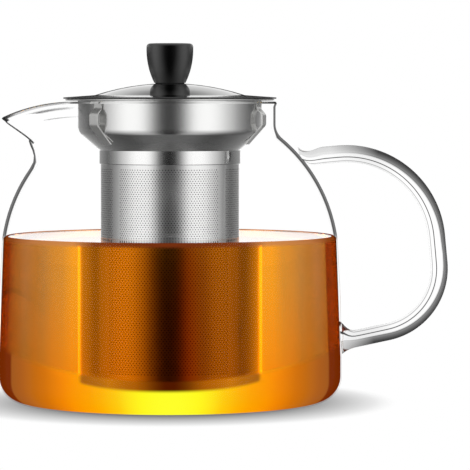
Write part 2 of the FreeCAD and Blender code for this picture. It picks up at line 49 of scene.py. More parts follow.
def trace(start, *runs, closed=False):
    """Draw a turned piece's half outline: each run is a point to go to, or an arc's centre and turn."""
    bm = bmesh.new()
    first = tip = bm.verts.new((start[0] * MM, 0, start[1] * MM))
    for run in runs:
        if len(run) == 2:
            following = bm.verts.new((run[0] * MM, 0, run[1] * MM))
            bm.edges.new((tip, following))
            tip = following
        else:
            across, up, degrees = run
            steps = max(2, round(abs(degrees) / 3))
            swept = bmesh.ops.spin(
                bm, geom=[tip], cent=(across * MM, 0, up * MM), axis=(0, -1, 0),
                angle=math.radians(degrees), steps=steps)
            tip = swept["geom_last"][0]
    if closed:
        bm.edges.new((tip, first))
    bmesh.ops.remove_doubles(bm, verts=bm.verts, dist=1e-5)
    return bm


def turn(bm, steps):
    """Turn the outline into a solid of revolution about the pot's axis."""
    outline = list(bm.verts) + list(bm.edges)
    bmesh.ops.spin(
        bm, geom=outline, cent=(0, 0, 0), axis=(0, 0, 1), angle=math.tau, steps=steps, use_merge=True)
    bmesh.ops.remove_doubles(bm, verts=bm.verts, dist=1e-6)
    bmesh.ops.recalc_face_normals(bm, faces=bm.faces)


def put(name, bm, material):
    """Put a finished mesh in the scene."""
    mesh = bpy.data.meshes.new(name)
    bm.to_mesh(mesh)
    bm.free()
    mesh.materials.append(material)
    made = bpy.data.objects.new(name, mesh)
    scene.collection.objects.link(made)
    return made


def piece(name, bm, material, body, slot, *nodes, smooth=40):
    """Put a piece in the scene, riding on its body in place of its solids."""
    made = put(name, bm, material)
    made.data.shade_smooth()
    made.data.set_sharp_from_angle(angle=math.radians(smooth))
    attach(made, body)
    if nodes:
        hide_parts(*nodes)
    return made


def add_node(tree, kind, inputs=None, stops=(), **settings):
    """Add a node with its settings and its ramp's stops, and link or set its inputs."""
    made = tree.nodes.new(kind)
    for name, setting in settings.items():
        setattr(made, name, setting)
    for socket, given in (inputs or {}).items():
        if isinstance(given, bpy.types.NodeSocket):
            tree.links.new(given, made.inputs[socket])
        else:
            made.inputs[socket].default_value = given
    for number, (place, colour) in enumerate(stops):
        elements = made.color_ramp.elements
        element = elements[number] if number < len(elements) else elements.new(place)
        element.position = place
        element.color = linear(colour)
    return made


def linear(code):
    """Linear colour of an sRGB hex value."""
    parts = [int(code[place:place + 2], 16) / 255 for place in (1, 3, 5)]
    return [*(c / 12.92 if c <= 0.04045 else ((c + 0.055) / 1.055) ** 2.4 for c in parts), 1]


def new_material(name):
    """Start a material with an empty node tree."""
    made = bpy.data.materials.new(name)
    made.use_nodes = True
    made.node_tree.nodes.clear()
    return made, made.node_tree


# Clear wall with a thin gloss, with painted dark edges where it is seen along its length
# and painted amber where tea stands behind it.
clear_glass, tree = new_material("borosilicate_glass_blown")
edge = add_node(tree, "ShaderNodeLayerWeight", {"Blend": 0.5})
place = add_node(tree, "ShaderNodeTexCoord")
facet = add_node(tree, "ShaderNodeNewGeometry")
# The outer and the inner skin are tinted apart, and so is the wall above and below the tea's surface.
outside = add_node(tree, "ShaderNodeVectorMath", {
    0: place.outputs["Object"], 1: place.outputs["Normal"]}, operation="DOT_PRODUCT")
sign = add_node(tree, "ShaderNodeMath", {0: outside.outputs["Value"], 1: 0.0}, operation="GREATER_THAN")
side = add_node(tree, "ShaderNodeMath", {
    0: sign.outputs["Value"], 1: facet.outputs["Backfacing"]}, operation="SUBTRACT")
side = add_node(tree, "ShaderNodeMath", {0: side.outputs["Value"]}, operation="ABSOLUTE")
height = add_node(tree, "ShaderNodeSeparateXYZ", {"Vector": place.outputs["Object"]})
above = add_node(tree, "ShaderNodeMapRange", {
    "Value": height.outputs["Z"], "From Min": 65.5 * MM, "From Max": 68 * MM})
# Painted shade: at the beak the outer skin turns dark sooner.
nose = add_node(tree, "ShaderNodeAttribute", attribute_name="nose")
along = add_node(tree, "ShaderNodeMath", {0: nose.outputs["Fac"], 1: 0.36, 2: 1.0}, operation="MULTIPLY_ADD")
along = add_node(tree, "ShaderNodeMath", {
    0: along.outputs["Value"], 1: edge.outputs["Facing"]}, operation="MULTIPLY")
outer = add_node(tree, "ShaderNodeValToRGB", {"Fac": along.outputs["Value"]}, stops=(
    (0.0, "#FFFFFF"), (0.79, "#FFFFFF"), (0.815, "#8C8C8C"), (0.88, "#B4B4B4"), (0.95, "#A0A0A0"),
    (1.0, "#686868")))
inner = add_node(tree, "ShaderNodeValToRGB", {"Fac": edge.outputs["Facing"]}, stops=(
    (0.0, "#FFFFFF"), (0.96, "#FFFFFF"), (1.0, "#B0B0B0")))
# A painted dark line along the inner skin, at the heights that the streak layer marks.
streak = add_node(tree, "ShaderNodeAttribute", attribute_name="streak")
drawn = add_node(tree, "ShaderNodeMix", {
    "Factor": streak.outputs["Fac"], 6: inner.outputs["Color"], 7: linear("#A4A4A4")}, data_type="RGBA")
# Painted amber at the grazing edges where tea stands behind the wall.
amber = add_node(tree, "ShaderNodeValToRGB", {"Fac": edge.outputs["Facing"]}, stops=(
    (0.0, "#FFFFFF"), (0.93, "#FFFFFF"), (1.0, "#B08868")))
empty = add_node(tree, "ShaderNodeMix", {
    "Factor": side.outputs["Value"], 6: drawn.outputs[2], 7: outer.outputs["Color"]}, data_type="RGBA")
filled = add_node(tree, "ShaderNodeMix", {
    "Factor": side.outputs["Value"], 6: (1, 1, 1, 1), 7: amber.outputs["Color"]}, data_type="RGBA")
tint = add_node(tree, "ShaderNodeMix", {
    "Factor": above.outputs["Result"], 6: filled.outputs[2], 7: empty.outputs[2]}, data_type="RGBA")
clear = add_node(tree, "ShaderNodeBsdfTransparent", {"Color": tint.outputs[2]})
share = add_node(tree, "ShaderNodeValToRGB", {"Fac": edge.outputs["Facing"]}, stops=(
    (0.0, "#0C0C0C"), (0.5, "#141414"), (0.7, "#202020"), (0.75, "#000000")))
gloss = add_node(tree, "ShaderNodeBsdfGlossy", {"Color": share.outputs["Color"], "Roughness": 0.0})
body = add_node(tree, "ShaderNodeAddShader", {0: clear.outputs["BSDF"], 1: gloss.outputs["BSDF"]})
add_node(tree, "ShaderNodeOutputMaterial", {"Surface": body.outputs["Shader"]})

bm = trace(
    (0, 0), (59.8, 0), (59.8, 10.2, 90), (70, 18), (-597.7, 18, 4.209), (3.912, 57.403, 41.49),
    (50.6, 113, -49.98), (43, 115), (43, 117.5), (43, 119.9), (43.5, 121.2), (42.6, 121.2, 90), (41.8, 122.1),
    (41.8, 121.5, 90), (41.2, 120.3), (41.2, 119.6), (41.2, 118.9), (41.2, 117), (41.2, 116.2), (41.2, 115.9),
    (41.2, 115.6), (41.2, 113), (50.6, 113, 49.98), (3.912, 57.403, -40.0), (66.4, 67), (66.6, 60),
    (68.2, 18), (68.2, 11), (59.8, 11, -90), (0, 2.6))
turn(bm, 256)

# Rounded rim and beak tip that bend light, with painted dark lines towards both sides,
# clear in what the lid mirrors.
lip_glass, tree = new_material("borosilicate_glass_fire_polished")
edge = add_node(tree, "ShaderNodeLayerWeight", {"Blend": 0.5})
place = add_node(tree, "ShaderNodeTexCoord")
across = add_node(tree, "ShaderNodeSeparateXYZ", {"Vector": place.outputs["Object"]})
side = add_node(tree, "ShaderNodeMath", {0: across.outputs["X"]}, operation="ABSOLUTE")
free = add_node(tree, "ShaderNodeMapRange", {
    "Value": side.outputs["Value"], "From Min": 35 * MM, "From Max": 42 * MM})
dark = add_node(tree, "ShaderNodeValToRGB", {"Fac": edge.outputs["Facing"]}, stops=(
    (0.0, "#E8E8E8"), (0.4, "#B0B0B0"), (0.8, "#686868"), (1.0, "#303030")))
tint = add_node(tree, "ShaderNodeMix", {
    "Factor": free.outputs["Result"], 6: linear("#F4F4F4"), 7: dark.outputs["Color"]}, data_type="RGBA")
body = add_node(tree, "ShaderNodeBsdfGlass", {"Color": tint.outputs[2], "Roughness": 0.0, "IOR": 1.3})
rays = add_node(tree, "ShaderNodeLightPath")
back = add_node(tree, "ShaderNodeMath", {0: rays.outputs["Glossy Depth"], 1: 0.5}, operation="GREATER_THAN")
clear = add_node(tree, "ShaderNodeBsdfTransparent")
seen = add_node(tree, "ShaderNodeMixShader", {
    0: back.outputs["Value"], 1: body.outputs["BSDF"], 2: clear.outputs["BSDF"]})
add_node(tree, "ShaderNodeOutputMaterial", {"Surface": seen.outputs["Shader"]})
LIP_START = 121.1
for face in bm.faces:
    if face.calc_center_median().z > LIP_START * MM:
        face.material_index = 1

# The beak: how far the wall is pulled out at each height of the plain neck, above the keel's foot.
# The nose and streak layers mark where dark lines are painted on the glass, in place of the light that
# its thick glass bends away.
PULL_HEIGHTS = (94, 95, 96, 98.5, 101.2, 105.2, 110.9, 114, 117.4, 121, 122.4)
PULL = (0, 0, 0.15, 1.1, 3.7, 9.0, 16.1, 18.9, 22.2, 24.7, 25.2)
pull_curve = np.polyfit(PULL_HEIGHTS, PULL, 6)
BEAK_SPREAD = math.radians(33)
BEAK_NOSE = 0.12
BEAK_FALL = 6.4
BEAK_TIP = (-66, 108)
LENS_STREAK, LENS_LINE = 119.6, 115.9
NECK_FOOT = 113
NECK_WALL_MIDDLE = 42
THINNED, MOST_THINNED = 0.17, 1.3
nose_layer = bm.verts.layers.float.new("nose")
streak_layer = bm.verts.layers.float.new("streak")
bm.normal_update()
for vert in bm.verts:
    up = vert.co.z / MM
    inside = math.hypot(vert.co.x, vert.co.y) / MM < NECK_WALL_MIDDLE
    heading = abs(math.atan2(vert.co.y, -vert.co.x)) / BEAK_SPREAD
    if up < PULL_HEIGHTS[0] or heading >= 1:
        continue
    off_middle = (math.hypot(heading, BEAK_NOSE) - BEAK_NOSE) / (math.hypot(1, BEAK_NOSE) - BEAK_NOSE)
    share = (1 - off_middle) ** 1.8
    pulled = max(0.0, float(np.polyval(pull_curve, min(up, PULL_HEIGHTS[-1])))) * share
    vert[nose_layer] = min(1.0, max(0.0, (pulled - 1) / 6)) * min(1.0, max(0.0, (share - 0.78) / 0.14))
    if inside and abs(up - LENS_STREAK) < 0.1:
        vert[streak_layer] = max(0.0, math.sin(math.pi * min(1.0, (1 - share) / 0.9))) ** 0.5
    elif inside and abs(up - LENS_LINE) < 0.1:
        vert[streak_layer] = 0.6 * min(1.0, 4 * share)
    if inside or (up < NECK_FOOT and vert.normal.dot(vert.co) < 0):
        pulled += min(MOST_THINNED, THINNED * pulled)
    outwards = Vector((vert.co.x, vert.co.y, 0)).normalized()
    vert.co += outwards * pulled * MM
    vert.co.z -= BEAK_FALL * (pulled / PULL[-1]) ** 1.85 * MM
for face in bm.faces:
    middle = face.calc_center_median()
    if middle.x < BEAK_TIP[0] * MM and middle.z > BEAK_TIP[1] * MM:
        face.material_index = 1
pot = piece("glass_pot", bm, clear_glass, "pot", "clear_glass", "glass_body", smooth=60)
pot.data.materials.append(lip_glass)


# Tea: the pot is filled to the start of the shoulder. It is contents, a closed volume that reaches almost
# to the glass's outer skin, because a filled glass looks filled to its outside.

# Liquid that bends light, amber by how steeply it is looked through. The glow and the shade at its foot
# and the line at its surface are painted on, by the direction from the pot's axis.
tea_material, tree = new_material("black_tea_clear")
edge = add_node(tree, "ShaderNodeLayerWeight", {"Blend": 0.5})
place = add_node(tree, "ShaderNodeTexCoord")
slope = add_node(tree, "ShaderNodeSeparateXYZ", {"Vector": place.outputs["Normal"]})
height = add_node(tree, "ShaderNodeSeparateXYZ", {"Vector": place.outputs["Object"]})
# How far the wall turns away, with its slope taken out, and the painted dark strip at each edge,
# wider towards +X.
steep = add_node(tree, "ShaderNodeMath", {0: slope.outputs["Z"], 1: slope.outputs["Z"]}, operation="MULTIPLY")
level = add_node(tree, "ShaderNodeMath", {0: 1.01, 1: steep.outputs["Value"]}, operation="SUBTRACT")
upright = add_node(tree, "ShaderNodeMath", {0: level.outputs["Value"]}, operation="SQRT")
plain = add_node(tree, "ShaderNodeMath", {0: 1.0, 1: edge.outputs["Facing"]}, operation="SUBTRACT")
towards = add_node(tree, "ShaderNodeMath", {
    0: steep.outputs["Value"], 1: 0.16, 2: plain.outputs["Value"]}, operation="MULTIPLY_ADD")
across = add_node(tree, "ShaderNodeMath", {
    0: towards.outputs["Value"], 1: upright.outputs["Value"]}, operation="DIVIDE")
turned = add_node(tree, "ShaderNodeMath", {
    0: 1.0, 1: across.outputs["Value"]}, operation="SUBTRACT", use_clamp=True)
strip = add_node(tree, "ShaderNodeMath", {
    0: slope.outputs["X"], 1: 0.035, 2: turned.outputs["Value"]}, operation="MULTIPLY_ADD")
strip = add_node(tree, "ShaderNodeMapRange", {
    "Value": strip.outputs["Value"], "From Min": 0.662, "From Max": 0.678})
turned = add_node(tree, "ShaderNodeMath", {
    0: slope.outputs["X"], 1: -0.022, 2: turned.outputs["Value"]}, operation="MULTIPLY_ADD")
# Looked through: orange in the middle, brown towards the sides, and lower down a stronger orange
# that paints the light from below.
high = add_node(tree, "ShaderNodeValToRGB", {"Fac": turned.outputs["Value"]}, stops=(
    (0.0, "#FFA41E"), (0.13, "#FFA41E"), (0.17, "#F29C22"), (0.2, "#F09A20"), (0.25, "#D48A2E"),
    (0.3, "#CC842E"), (0.36, "#B87A36"), (0.42, "#B0702C"), (0.51, "#A86C38"), (0.6, "#9C5E24"),
    (0.7, "#8C4414"), (1.0, "#6A2402")))
deep = add_node(tree, "ShaderNodeValToRGB", {"Fac": turned.outputs["Value"]}, stops=(
    (0.0, "#FF9A00"), (0.13, "#FF9A00"), (0.17, "#F48A00"), (0.2, "#F08600"), (0.25, "#E27E02"),
    (0.3, "#D67604"), (0.36, "#BE6C10"), (0.42, "#B8660C"), (0.51, "#A0601A"), (0.6, "#984E0C"),
    (0.7, "#8A4008"), (1.0, "#6A2402")))
# Painted on, by the direction from the axis, alike at the front and the back.
FRONT = (0.022, -1, 0)
level_place = add_node(tree, "ShaderNodeVectorMath", {
    0: place.outputs["Object"], 1: (1, 1, 0)}, operation="MULTIPLY")
compass = add_node(tree, "ShaderNodeVectorMath", {0: level_place.outputs["Vector"]}, operation="NORMALIZE")
ahead = add_node(tree, "ShaderNodeVectorMath", {
    0: compass.outputs["Vector"], 1: FRONT}, operation="DOT_PRODUCT")
ahead = add_node(tree, "ShaderNodeMath", {0: ahead.outputs["Value"]}, operation="ABSOLUTE")
aside = add_node(tree, "ShaderNodeMath", {
    0: 1.0, 1: ahead.outputs["Value"]}, operation="SUBTRACT", use_clamp=True)
glow = add_node(tree, "ShaderNodeValToRGB", {"Fac": aside.outputs["Value"]}, stops=(
    (0.0, "#FFFF2A"), (0.012, "#FFF820"), (0.045, "#FFCA0C"), (0.08, "#FFB002"), (0.108, "#FFA400"),
    (0.17, "#FC9400"), (0.21, "#F28602"), (0.29, "#D47208"), (0.36, "#C26A10"), (0.4, "#BA671A"),
    (0.47, "#AC5E1E"), (0.575, "#A0581E"), (0.6, "#7A2C04"), (1.0, "#6A2402")))
foot = add_node(tree, "ShaderNodeValToRGB", {"Fac": aside.outputs["Value"]}, stops=(
    (0.0015, "#501800"), (0.005, "#7A3C02"), (0.018, "#AC5C05"), (0.058, "#C67408"), (0.083, "#B4690E"),
    (0.128, "#A85F0C"), (0.142, "#FF9C00"), (0.185, "#FA9002"), (0.21, "#F48A04"), (0.29, "#DA7A0E"),
    (0.36, "#C66F14"), (0.4, "#BA671A"), (0.575, "#A0581C"), (0.6, "#7A2C04"), (1.0, "#6A2402")))
rim = add_node(tree, "ShaderNodeValToRGB", {"Fac": aside.outputs["Value"]}, stops=(
    (0.0, "#743010"), (0.1, "#84401A"), (0.17, "#D08848"), (0.42, "#B87440"), (0.64, "#8C4414"),
    (1.0, "#6A2402")))
down = add_node(tree, "ShaderNodeMapRange", {
    "Value": height.outputs["Z"], "From Min": 52 * MM, "From Max": 12 * MM})
lit = add_node(tree, "ShaderNodeMix", {
    "Factor": down.outputs["Result"], 6: high.outputs["Color"], 7: deep.outputs["Color"]}, data_type="RGBA")
edged = add_node(tree, "ShaderNodeMix", {
    "Factor": strip.outputs["Result"], 6: lit.outputs[2], 7: linear("#7A2C04")}, data_type="RGBA")
brim = add_node(tree, "ShaderNodeMapRange", {
    "Value": height.outputs["Z"], "From Min": 65.3 * MM, "From Max": 66.5 * MM})
# What the basket mirrors leaves the tea in a painted colour by how far back it comes out: dark brown
# at the front, bright yellow towards the back.
BACKWARDS = (-0.17, 0.985, 0.0)
facet = add_node(tree, "ShaderNodeNewGeometry")
rays = add_node(tree, "ShaderNodeLightPath")
back = add_node(tree, "ShaderNodeMath", {0: rays.outputs["Glossy Depth"], 1: 0.5}, operation="GREATER_THAN")
entered = add_node(tree, "ShaderNodeMath", {
    0: rays.outputs["Transmission Depth"], 1: 1.0, 2: 0.5}, operation="COMPARE")
thrown = add_node(tree, "ShaderNodeMath", {
    0: back.outputs["Value"], 1: entered.outputs["Value"]}, operation="MULTIPLY")
way = add_node(tree, "ShaderNodeVectorMath", {
    0: place.outputs["Object"], 1: BACKWARDS}, operation="DOT_PRODUCT")
depth = add_node(tree, "ShaderNodeMapRange", {
    "Value": way.outputs["Value"], "From Min": -69.6 * MM, "From Max": 69.6 * MM})
way_out = add_node(tree, "ShaderNodeValToRGB", {"Fac": depth.outputs["Result"]}, stops=(
    (0.0, "#642E0E"), (0.04, "#583E1C"), (0.07, "#5A4422"), (0.185, "#8C763C"), (0.385, "#B89C58"),
    (0.72, "#FFE898")))
way_out = add_node(tree, "ShaderNodeVectorMath", {
    0: way_out.outputs["Color"], "Scale": 2.7}, operation="SCALE")
leaving = add_node(tree, "ShaderNodeMix", {
    "Factor": thrown.outputs["Value"], 6: (1, 1, 1, 1), 7: way_out.outputs["Vector"]}, data_type="RGBA")
tint = add_node(tree, "ShaderNodeMix", {
    "Factor": facet.outputs["Backfacing"], 6: edged.outputs[2], 7: leaving.outputs[2]}, data_type="RGBA")
into = add_node(tree, "ShaderNodeBsdfRefraction", {"Color": tint.outputs[2], "Roughness": 0.0, "IOR": 1.333})
out = add_node(tree, "ShaderNodeBsdfGlass", {"Color": tint.outputs[2], "Roughness": 0.0, "IOR": 1.333})
liquid = add_node(tree, "ShaderNodeMixShader", {
    0: facet.outputs["Backfacing"], 1: into.outputs["BSDF"], 2: out.outputs["BSDF"]})
# The painted zones: a dished one at the foot, and the line at the surface.
upper = add_node(tree, "ShaderNodeMath", {0: height.outputs["Z"], 1: 50 * MM}, operation="GREATER_THAN")
dish = add_node(tree, "ShaderNodeMath", {
    0: height.outputs["X"], 1: height.outputs["X"]}, operation="MULTIPLY")
sunk = add_node(tree, "ShaderNodeMath", {
    0: dish.outputs["Value"], 1: -1.3, 2: height.outputs["Z"]}, operation="MULTIPLY_ADD")
start = add_node(tree, "ShaderNodeMath", {
    0: dish.outputs["Value"], 1: 1.0, 2: 14.7 * MM}, operation="MULTIPLY_ADD")
full = add_node(tree, "ShaderNodeMath", {
    0: dish.outputs["Value"], 1: 0.3, 2: 13.7 * MM}, operation="MULTIPLY_ADD")
low = add_node(tree, "ShaderNodeMapRange", {
    "Value": sunk.outputs["Value"], "From Min": start.outputs["Value"], "From Max": full.outputs["Value"]},
    interpolation_type="SMOOTHSTEP")
corner = add_node(tree, "ShaderNodeMath", {
    0: dish.outputs["Value"], 1: dish.outputs["Value"]}, operation="MULTIPLY")
rounded = add_node(tree, "ShaderNodeMath", {
    0: corner.outputs["Value"], 1: -900.0, 2: sunk.outputs["Value"]}, operation="MULTIPLY_ADD")
lowest = add_node(tree, "ShaderNodeMapRange", {
    "Value": rounded.outputs["Value"], "From Min": 11.2 * MM, "From Max": 9.4 * MM},
    interpolation_type="SMOOTHSTEP")
bottom = add_node(tree, "ShaderNodeMix", {
    "Factor": lowest.outputs["Result"], 6: foot.outputs["Color"], 7: glow.outputs["Color"]}, data_type="RGBA")
warm = add_node(tree, "ShaderNodeMix", {
    "Factor": upper.outputs["Value"], 6: bottom.outputs[2], 7: rim.outputs["Color"]}, data_type="RGBA")
# The painted glow, shade and surface line are given off as light, on the front-facing side.
shine = add_node(tree, "ShaderNodeEmission", {"Color": warm.outputs[2], "Strength": 1.0})
front = add_node(tree, "ShaderNodeMath", {0: 1.0, 1: facet.outputs["Backfacing"]}, operation="SUBTRACT")
ends = add_node(tree, "ShaderNodeMath", {
    0: low.outputs["Result"], 1: brim.outputs["Result"]}, operation="MAXIMUM")
painted_light_mask = add_node(tree, "ShaderNodeMath", {
    0: ends.outputs["Value"], 1: front.outputs["Value"]}, operation="MULTIPLY")
both = add_node(tree, "ShaderNodeMixShader", {
    0: painted_light_mask.outputs["Value"], 1: liquid.outputs["Shader"], 2: shine.outputs["Emission"]})
# Not there for what the steel above the tea mirrors.
dry = add_node(tree, "ShaderNodeMath", {
    0: back.outputs["Value"], 1: entered.outputs["Value"]}, operation="GREATER_THAN")
clear = add_node(tree, "ShaderNodeBsdfTransparent")
seen = add_node(tree, "ShaderNodeMixShader", {
    0: dry.outputs["Value"], 1: both.outputs["Shader"], 2: clear.outputs["BSDF"]})
add_node(tree, "ShaderNodeOutputMaterial", {"Surface": seen.outputs["Shader"]})

# Flat surface: a mirror at a low angle, amber from above.
tea_top, tree = new_material("black_tea_still_surface")
share = add_node(tree, "ShaderNodeFresnel", {"IOR": 1.333})
into = add_node(tree, "ShaderNodeBsdfRefraction", {
    "Color": linear("#F0A040"), "Roughness": 0.0, "IOR": 1.333})
off = add_node(tree, "ShaderNodeBsdfGlossy", {"Color": (1, 1, 1, 1), "Roughness": 0.0})
both = add_node(tree, "ShaderNodeMixShader", {
    0: share.outputs["Fac"], 1: into.outputs["BSDF"], 2: off.outputs["BSDF"]})
rays = add_node(tree, "ShaderNodeLightPath")
clear = add_node(tree, "ShaderNodeBsdfTransparent")
back = add_node(tree, "ShaderNodeMath", {0: rays.outputs["Glossy Depth"], 1: 0.5}, operation="GREATER_THAN")
seen = add_node(tree, "ShaderNodeMixShader", {
    0: back.outputs["Value"], 1: both.outputs["Shader"], 2: clear.outputs["BSDF"]})
add_node(tree, "ShaderNodeOutputMaterial", {"Surface": seen.outputs["Shader"]})

bm = trace(
    (0, 0.4), (59.8, 0.4), (59.8, 10.2, 90), (69.6, 18), (67.8, 66.7), (66.6, 67.6), (65.8, 67.3),
    (64.4, 67.1), (62, 67.0), (0, 67.0))
turn(bm, 192)
for face in bm.faces:
    if face.normal.z > 0.95:
        face.material_index = 1
tea = piece("tea", bm, tea_material, "pot", "clear_glass")
tea.data.materials.append(tea_top)
tea.visible_diffuse = False


# Handle: a 7 mm glass rod bent to a D in the flame, then fused on at the shoulder and low on the side.
# The upper end is drawn thin where it was pulled off, the lower end is pressed on and spreads.

# Solid rod: a painted dark band along the outer side and two painted fine lines along the inner side,
# clear between them.
rod_glass, tree = new_material("borosilicate_glass_drawn_rod")
HANDLE_MIDDLE = (74, 0, 60)
edge = add_node(tree, "ShaderNodeLayerWeight", {"Blend": 0.5})
place = add_node(tree, "ShaderNodeTexCoord")
away = add_node(tree, "ShaderNodeVectorMath", {
    0: place.outputs["Object"], 1: [c * MM for c in HANDLE_MIDDLE]}, operation="SUBTRACT")
flat = add_node(tree, "ShaderNodeVectorMath", {0: away.outputs["Vector"], 1: (1, 0, 1)}, operation="MULTIPLY")
heading = add_node(tree, "ShaderNodeVectorMath", {0: flat.outputs["Vector"]}, operation="NORMALIZE")
outward = add_node(tree, "ShaderNodeVectorMath", {
    0: heading.outputs["Vector"], 1: place.outputs["Normal"]}, operation="DOT_PRODUCT")
course = add_node(tree, "ShaderNodeSeparateXYZ", {"Vector": heading.outputs["Vector"]})
slant = add_node(tree, "ShaderNodeMath", {0: course.outputs["Z"]}, operation="ABSOLUTE")
lean = add_node(tree, "ShaderNodeMath", {
    0: outward.outputs["Value"], 1: edge.outputs["Facing"]}, operation="MULTIPLY", use_clamp=True)
lean = add_node(tree, "ShaderNodeMath", {0: lean.outputs["Value"], 1: 0.333}, operation="POWER")
lean = add_node(tree, "ShaderNodeMath", {
    0: slant.outputs["Value"], 1: 0.36, 2: lean.outputs["Value"]}, operation="MULTIPLY_ADD")
# The painted dark band along the outer side.
tint = add_node(tree, "ShaderNodeValToRGB", {"Fac": lean.outputs["Value"]}, stops=(
    (0.0, "#FFFFFF"), (0.31, "#FFFFFF"), (0.38, "#E0E0E0"), (0.44, "#B8B8B8"), (0.465, "#484848"),
    (0.51, "#8A8A8A"), (0.7, "#6C6C6C"), (1.0, "#424242")))
# Where the two painted fine lines fall around the rod's section.
painted_line_place = add_node(tree, "ShaderNodeMapRange", {
    "Value": outward.outputs["Value"], "From Min": -1.0, "From Max": 1.0})
lines = add_node(tree, "ShaderNodeValToRGB", {"Fac": painted_line_place.outputs["Result"]}, stops=(
    (0.0, "#FFFFFF"), (0.07, "#FFFFFF"), (0.1, "#989898"), (0.13, "#FFFFFF"), (0.28, "#FFFFFF"),
    (0.31, "#303030"), (0.33, "#303030"), (0.36, "#FFFFFF"), (1.0, "#FFFFFF")))
depth = add_node(tree, "ShaderNodeMapRange", {
    "Value": course.outputs["X"], "From Min": -0.2, "From Max": 0.25, "To Min": 0.3, "To Max": 1.0})
tint = add_node(tree, "ShaderNodeMix", {
    "Factor": depth.outputs["Result"], 6: (1, 1, 1, 1), 7: tint.outputs["Color"]}, data_type="RGBA")
facet = add_node(tree, "ShaderNodeNewGeometry")
# The painted band and the painted lines together.
drawn = add_node(tree, "ShaderNodeMix", {
    "Factor": 1.0, 6: tint.outputs[2], 7: lines.outputs["Color"]}, data_type="RGBA", blend_type="MULTIPLY")
once = add_node(tree, "ShaderNodeMix", {
    "Factor": facet.outputs["Backfacing"], 6: drawn.outputs[2], 7: (1, 1, 1, 1)}, data_type="RGBA")
body = add_node(tree, "ShaderNodeBsdfGlass", {"Color": once.outputs[2], "Roughness": 0.0, "IOR": 1.2})
add_node(tree, "ShaderNodeOutputMaterial", {"Surface": body.outputs["BSDF"]})

ROD = 3.5
FOOT = (69.6, 24.0)
FOOT_SLOPE = math.radians(12)
ARM = 19.7
LOWER_BEND, LOWER_TURN = (83.4, 54.0), 83.4
GRIP = (-1.04, 0, 10.97)
UPPER_BEND, UPPER_TURN = (72.0, 64.0), 89.6
TAIL = (-16.4, 0, -1.43)
bm = bmesh.new()
ring = bmesh.ops.create_circle(bm, cap_ends=False, radius=ROD * MM, segments=32)["verts"]
seat = Matrix.Translation((FOOT[0] * MM, 0, FOOT[1] * MM)) @ Matrix.Rotation(math.pi / 2 - FOOT_SLOPE, 4, "Y")
bmesh.ops.transform(bm, matrix=seat, verts=ring)


def run_on(bm, edges, shift, parts):
    """Draw the rod out straight, by a shift in millimetres."""
    for _ in range(parts):
        grown = bmesh.ops.extrude_edge_only(bm, edges=edges)["geom"]
        verts = [item for item in grown if isinstance(item, bmesh.types.BMVert)]
        edges = [item for item in grown if isinstance(item, bmesh.types.BMEdge) and len(item.link_faces) == 1]
        bmesh.ops.translate(bm, verts=verts, vec=Vector([c * MM for c in shift]) / parts)
    return edges


def bend(bm, edges, centre, degrees, parts):
    """Bend the rod round a centre in the plane of the handle."""
    geom = edges + list({vert for item in edges for vert in item.verts})
    swept = bmesh.ops.spin(bm, geom=geom, cent=(centre[0] * MM, 0, centre[1] * MM), axis=(0, -1, 0),
                           angle=math.radians(degrees), steps=parts)
    return [item for item in swept["geom_last"] if isinstance(item, bmesh.types.BMEdge)]


first = list(bm.edges)
last = run_on(bm, first, (ARM * math.cos(FOOT_SLOPE), 0, ARM * math.sin(FOOT_SLOPE)), 16)
last = bend(bm, last, LOWER_BEND, LOWER_TURN, 28)
last = run_on(bm, last, GRIP, 4)
last = bend(bm, last, UPPER_BEND, UPPER_TURN, 36)
last = run_on(bm, last, TAIL, 16)
bmesh.ops.holes_fill(bm, edges=first + last, sides=0)
# The welds: the upper end is drawn thin and laid along the shoulder, the lower end spreads on the side.
HALF_WAY = 60
UPPER_WELD, UPPER_WELD_LENGTH = 62, 9.8
TIP, TIP_SLOPE = (52.2, 99.0), 0.087
LOWER_WELD, LOWER_WELD_LENGTH = 76, 6.4
for vert in bm.verts:
    x, y, z = vert.co / MM
    if z > HALF_WAY and x < UPPER_WELD:
        taper = min(1.0, (UPPER_WELD - x) / UPPER_WELD_LENGTH)
        middle = TIP[1] + (x - TIP[0]) * TIP_SLOPE
        thin = 1 - 0.62 * taper ** 1.3
        lift = 3.0 * taper ** 3 - 1.2 * math.sin(math.pi * taper) * taper
        vert.co = Vector((x, y * thin, middle + (z - middle) * thin + lift)) * MM
    elif z < HALF_WAY and x < LOWER_WELD:
        spread = min(1.0, (LOWER_WELD - x) / LOWER_WELD_LENGTH) ** 2.2
        middle = FOOT[1] + (x - FOOT[0]) * math.tan(FOOT_SLOPE)
        raised = middle + (z - middle) * (1 + spread) + 1.6 * spread
        vert.co = Vector((x, y * (1 + 0.5 * spread), raised)) * MM
bmesh.ops.recalc_face_normals(bm, faces=bm.faces)
piece("glass_handle_rod", bm, rod_glass, "pot", "clear_glass", "glass_handle", smooth=60)


# Infuser collar: stainless sheet spun in one piece, with a flange on the glass rim, a bowl, a cone and a
# plain band. The lid drops into the bowl, and the basket hangs from the band.

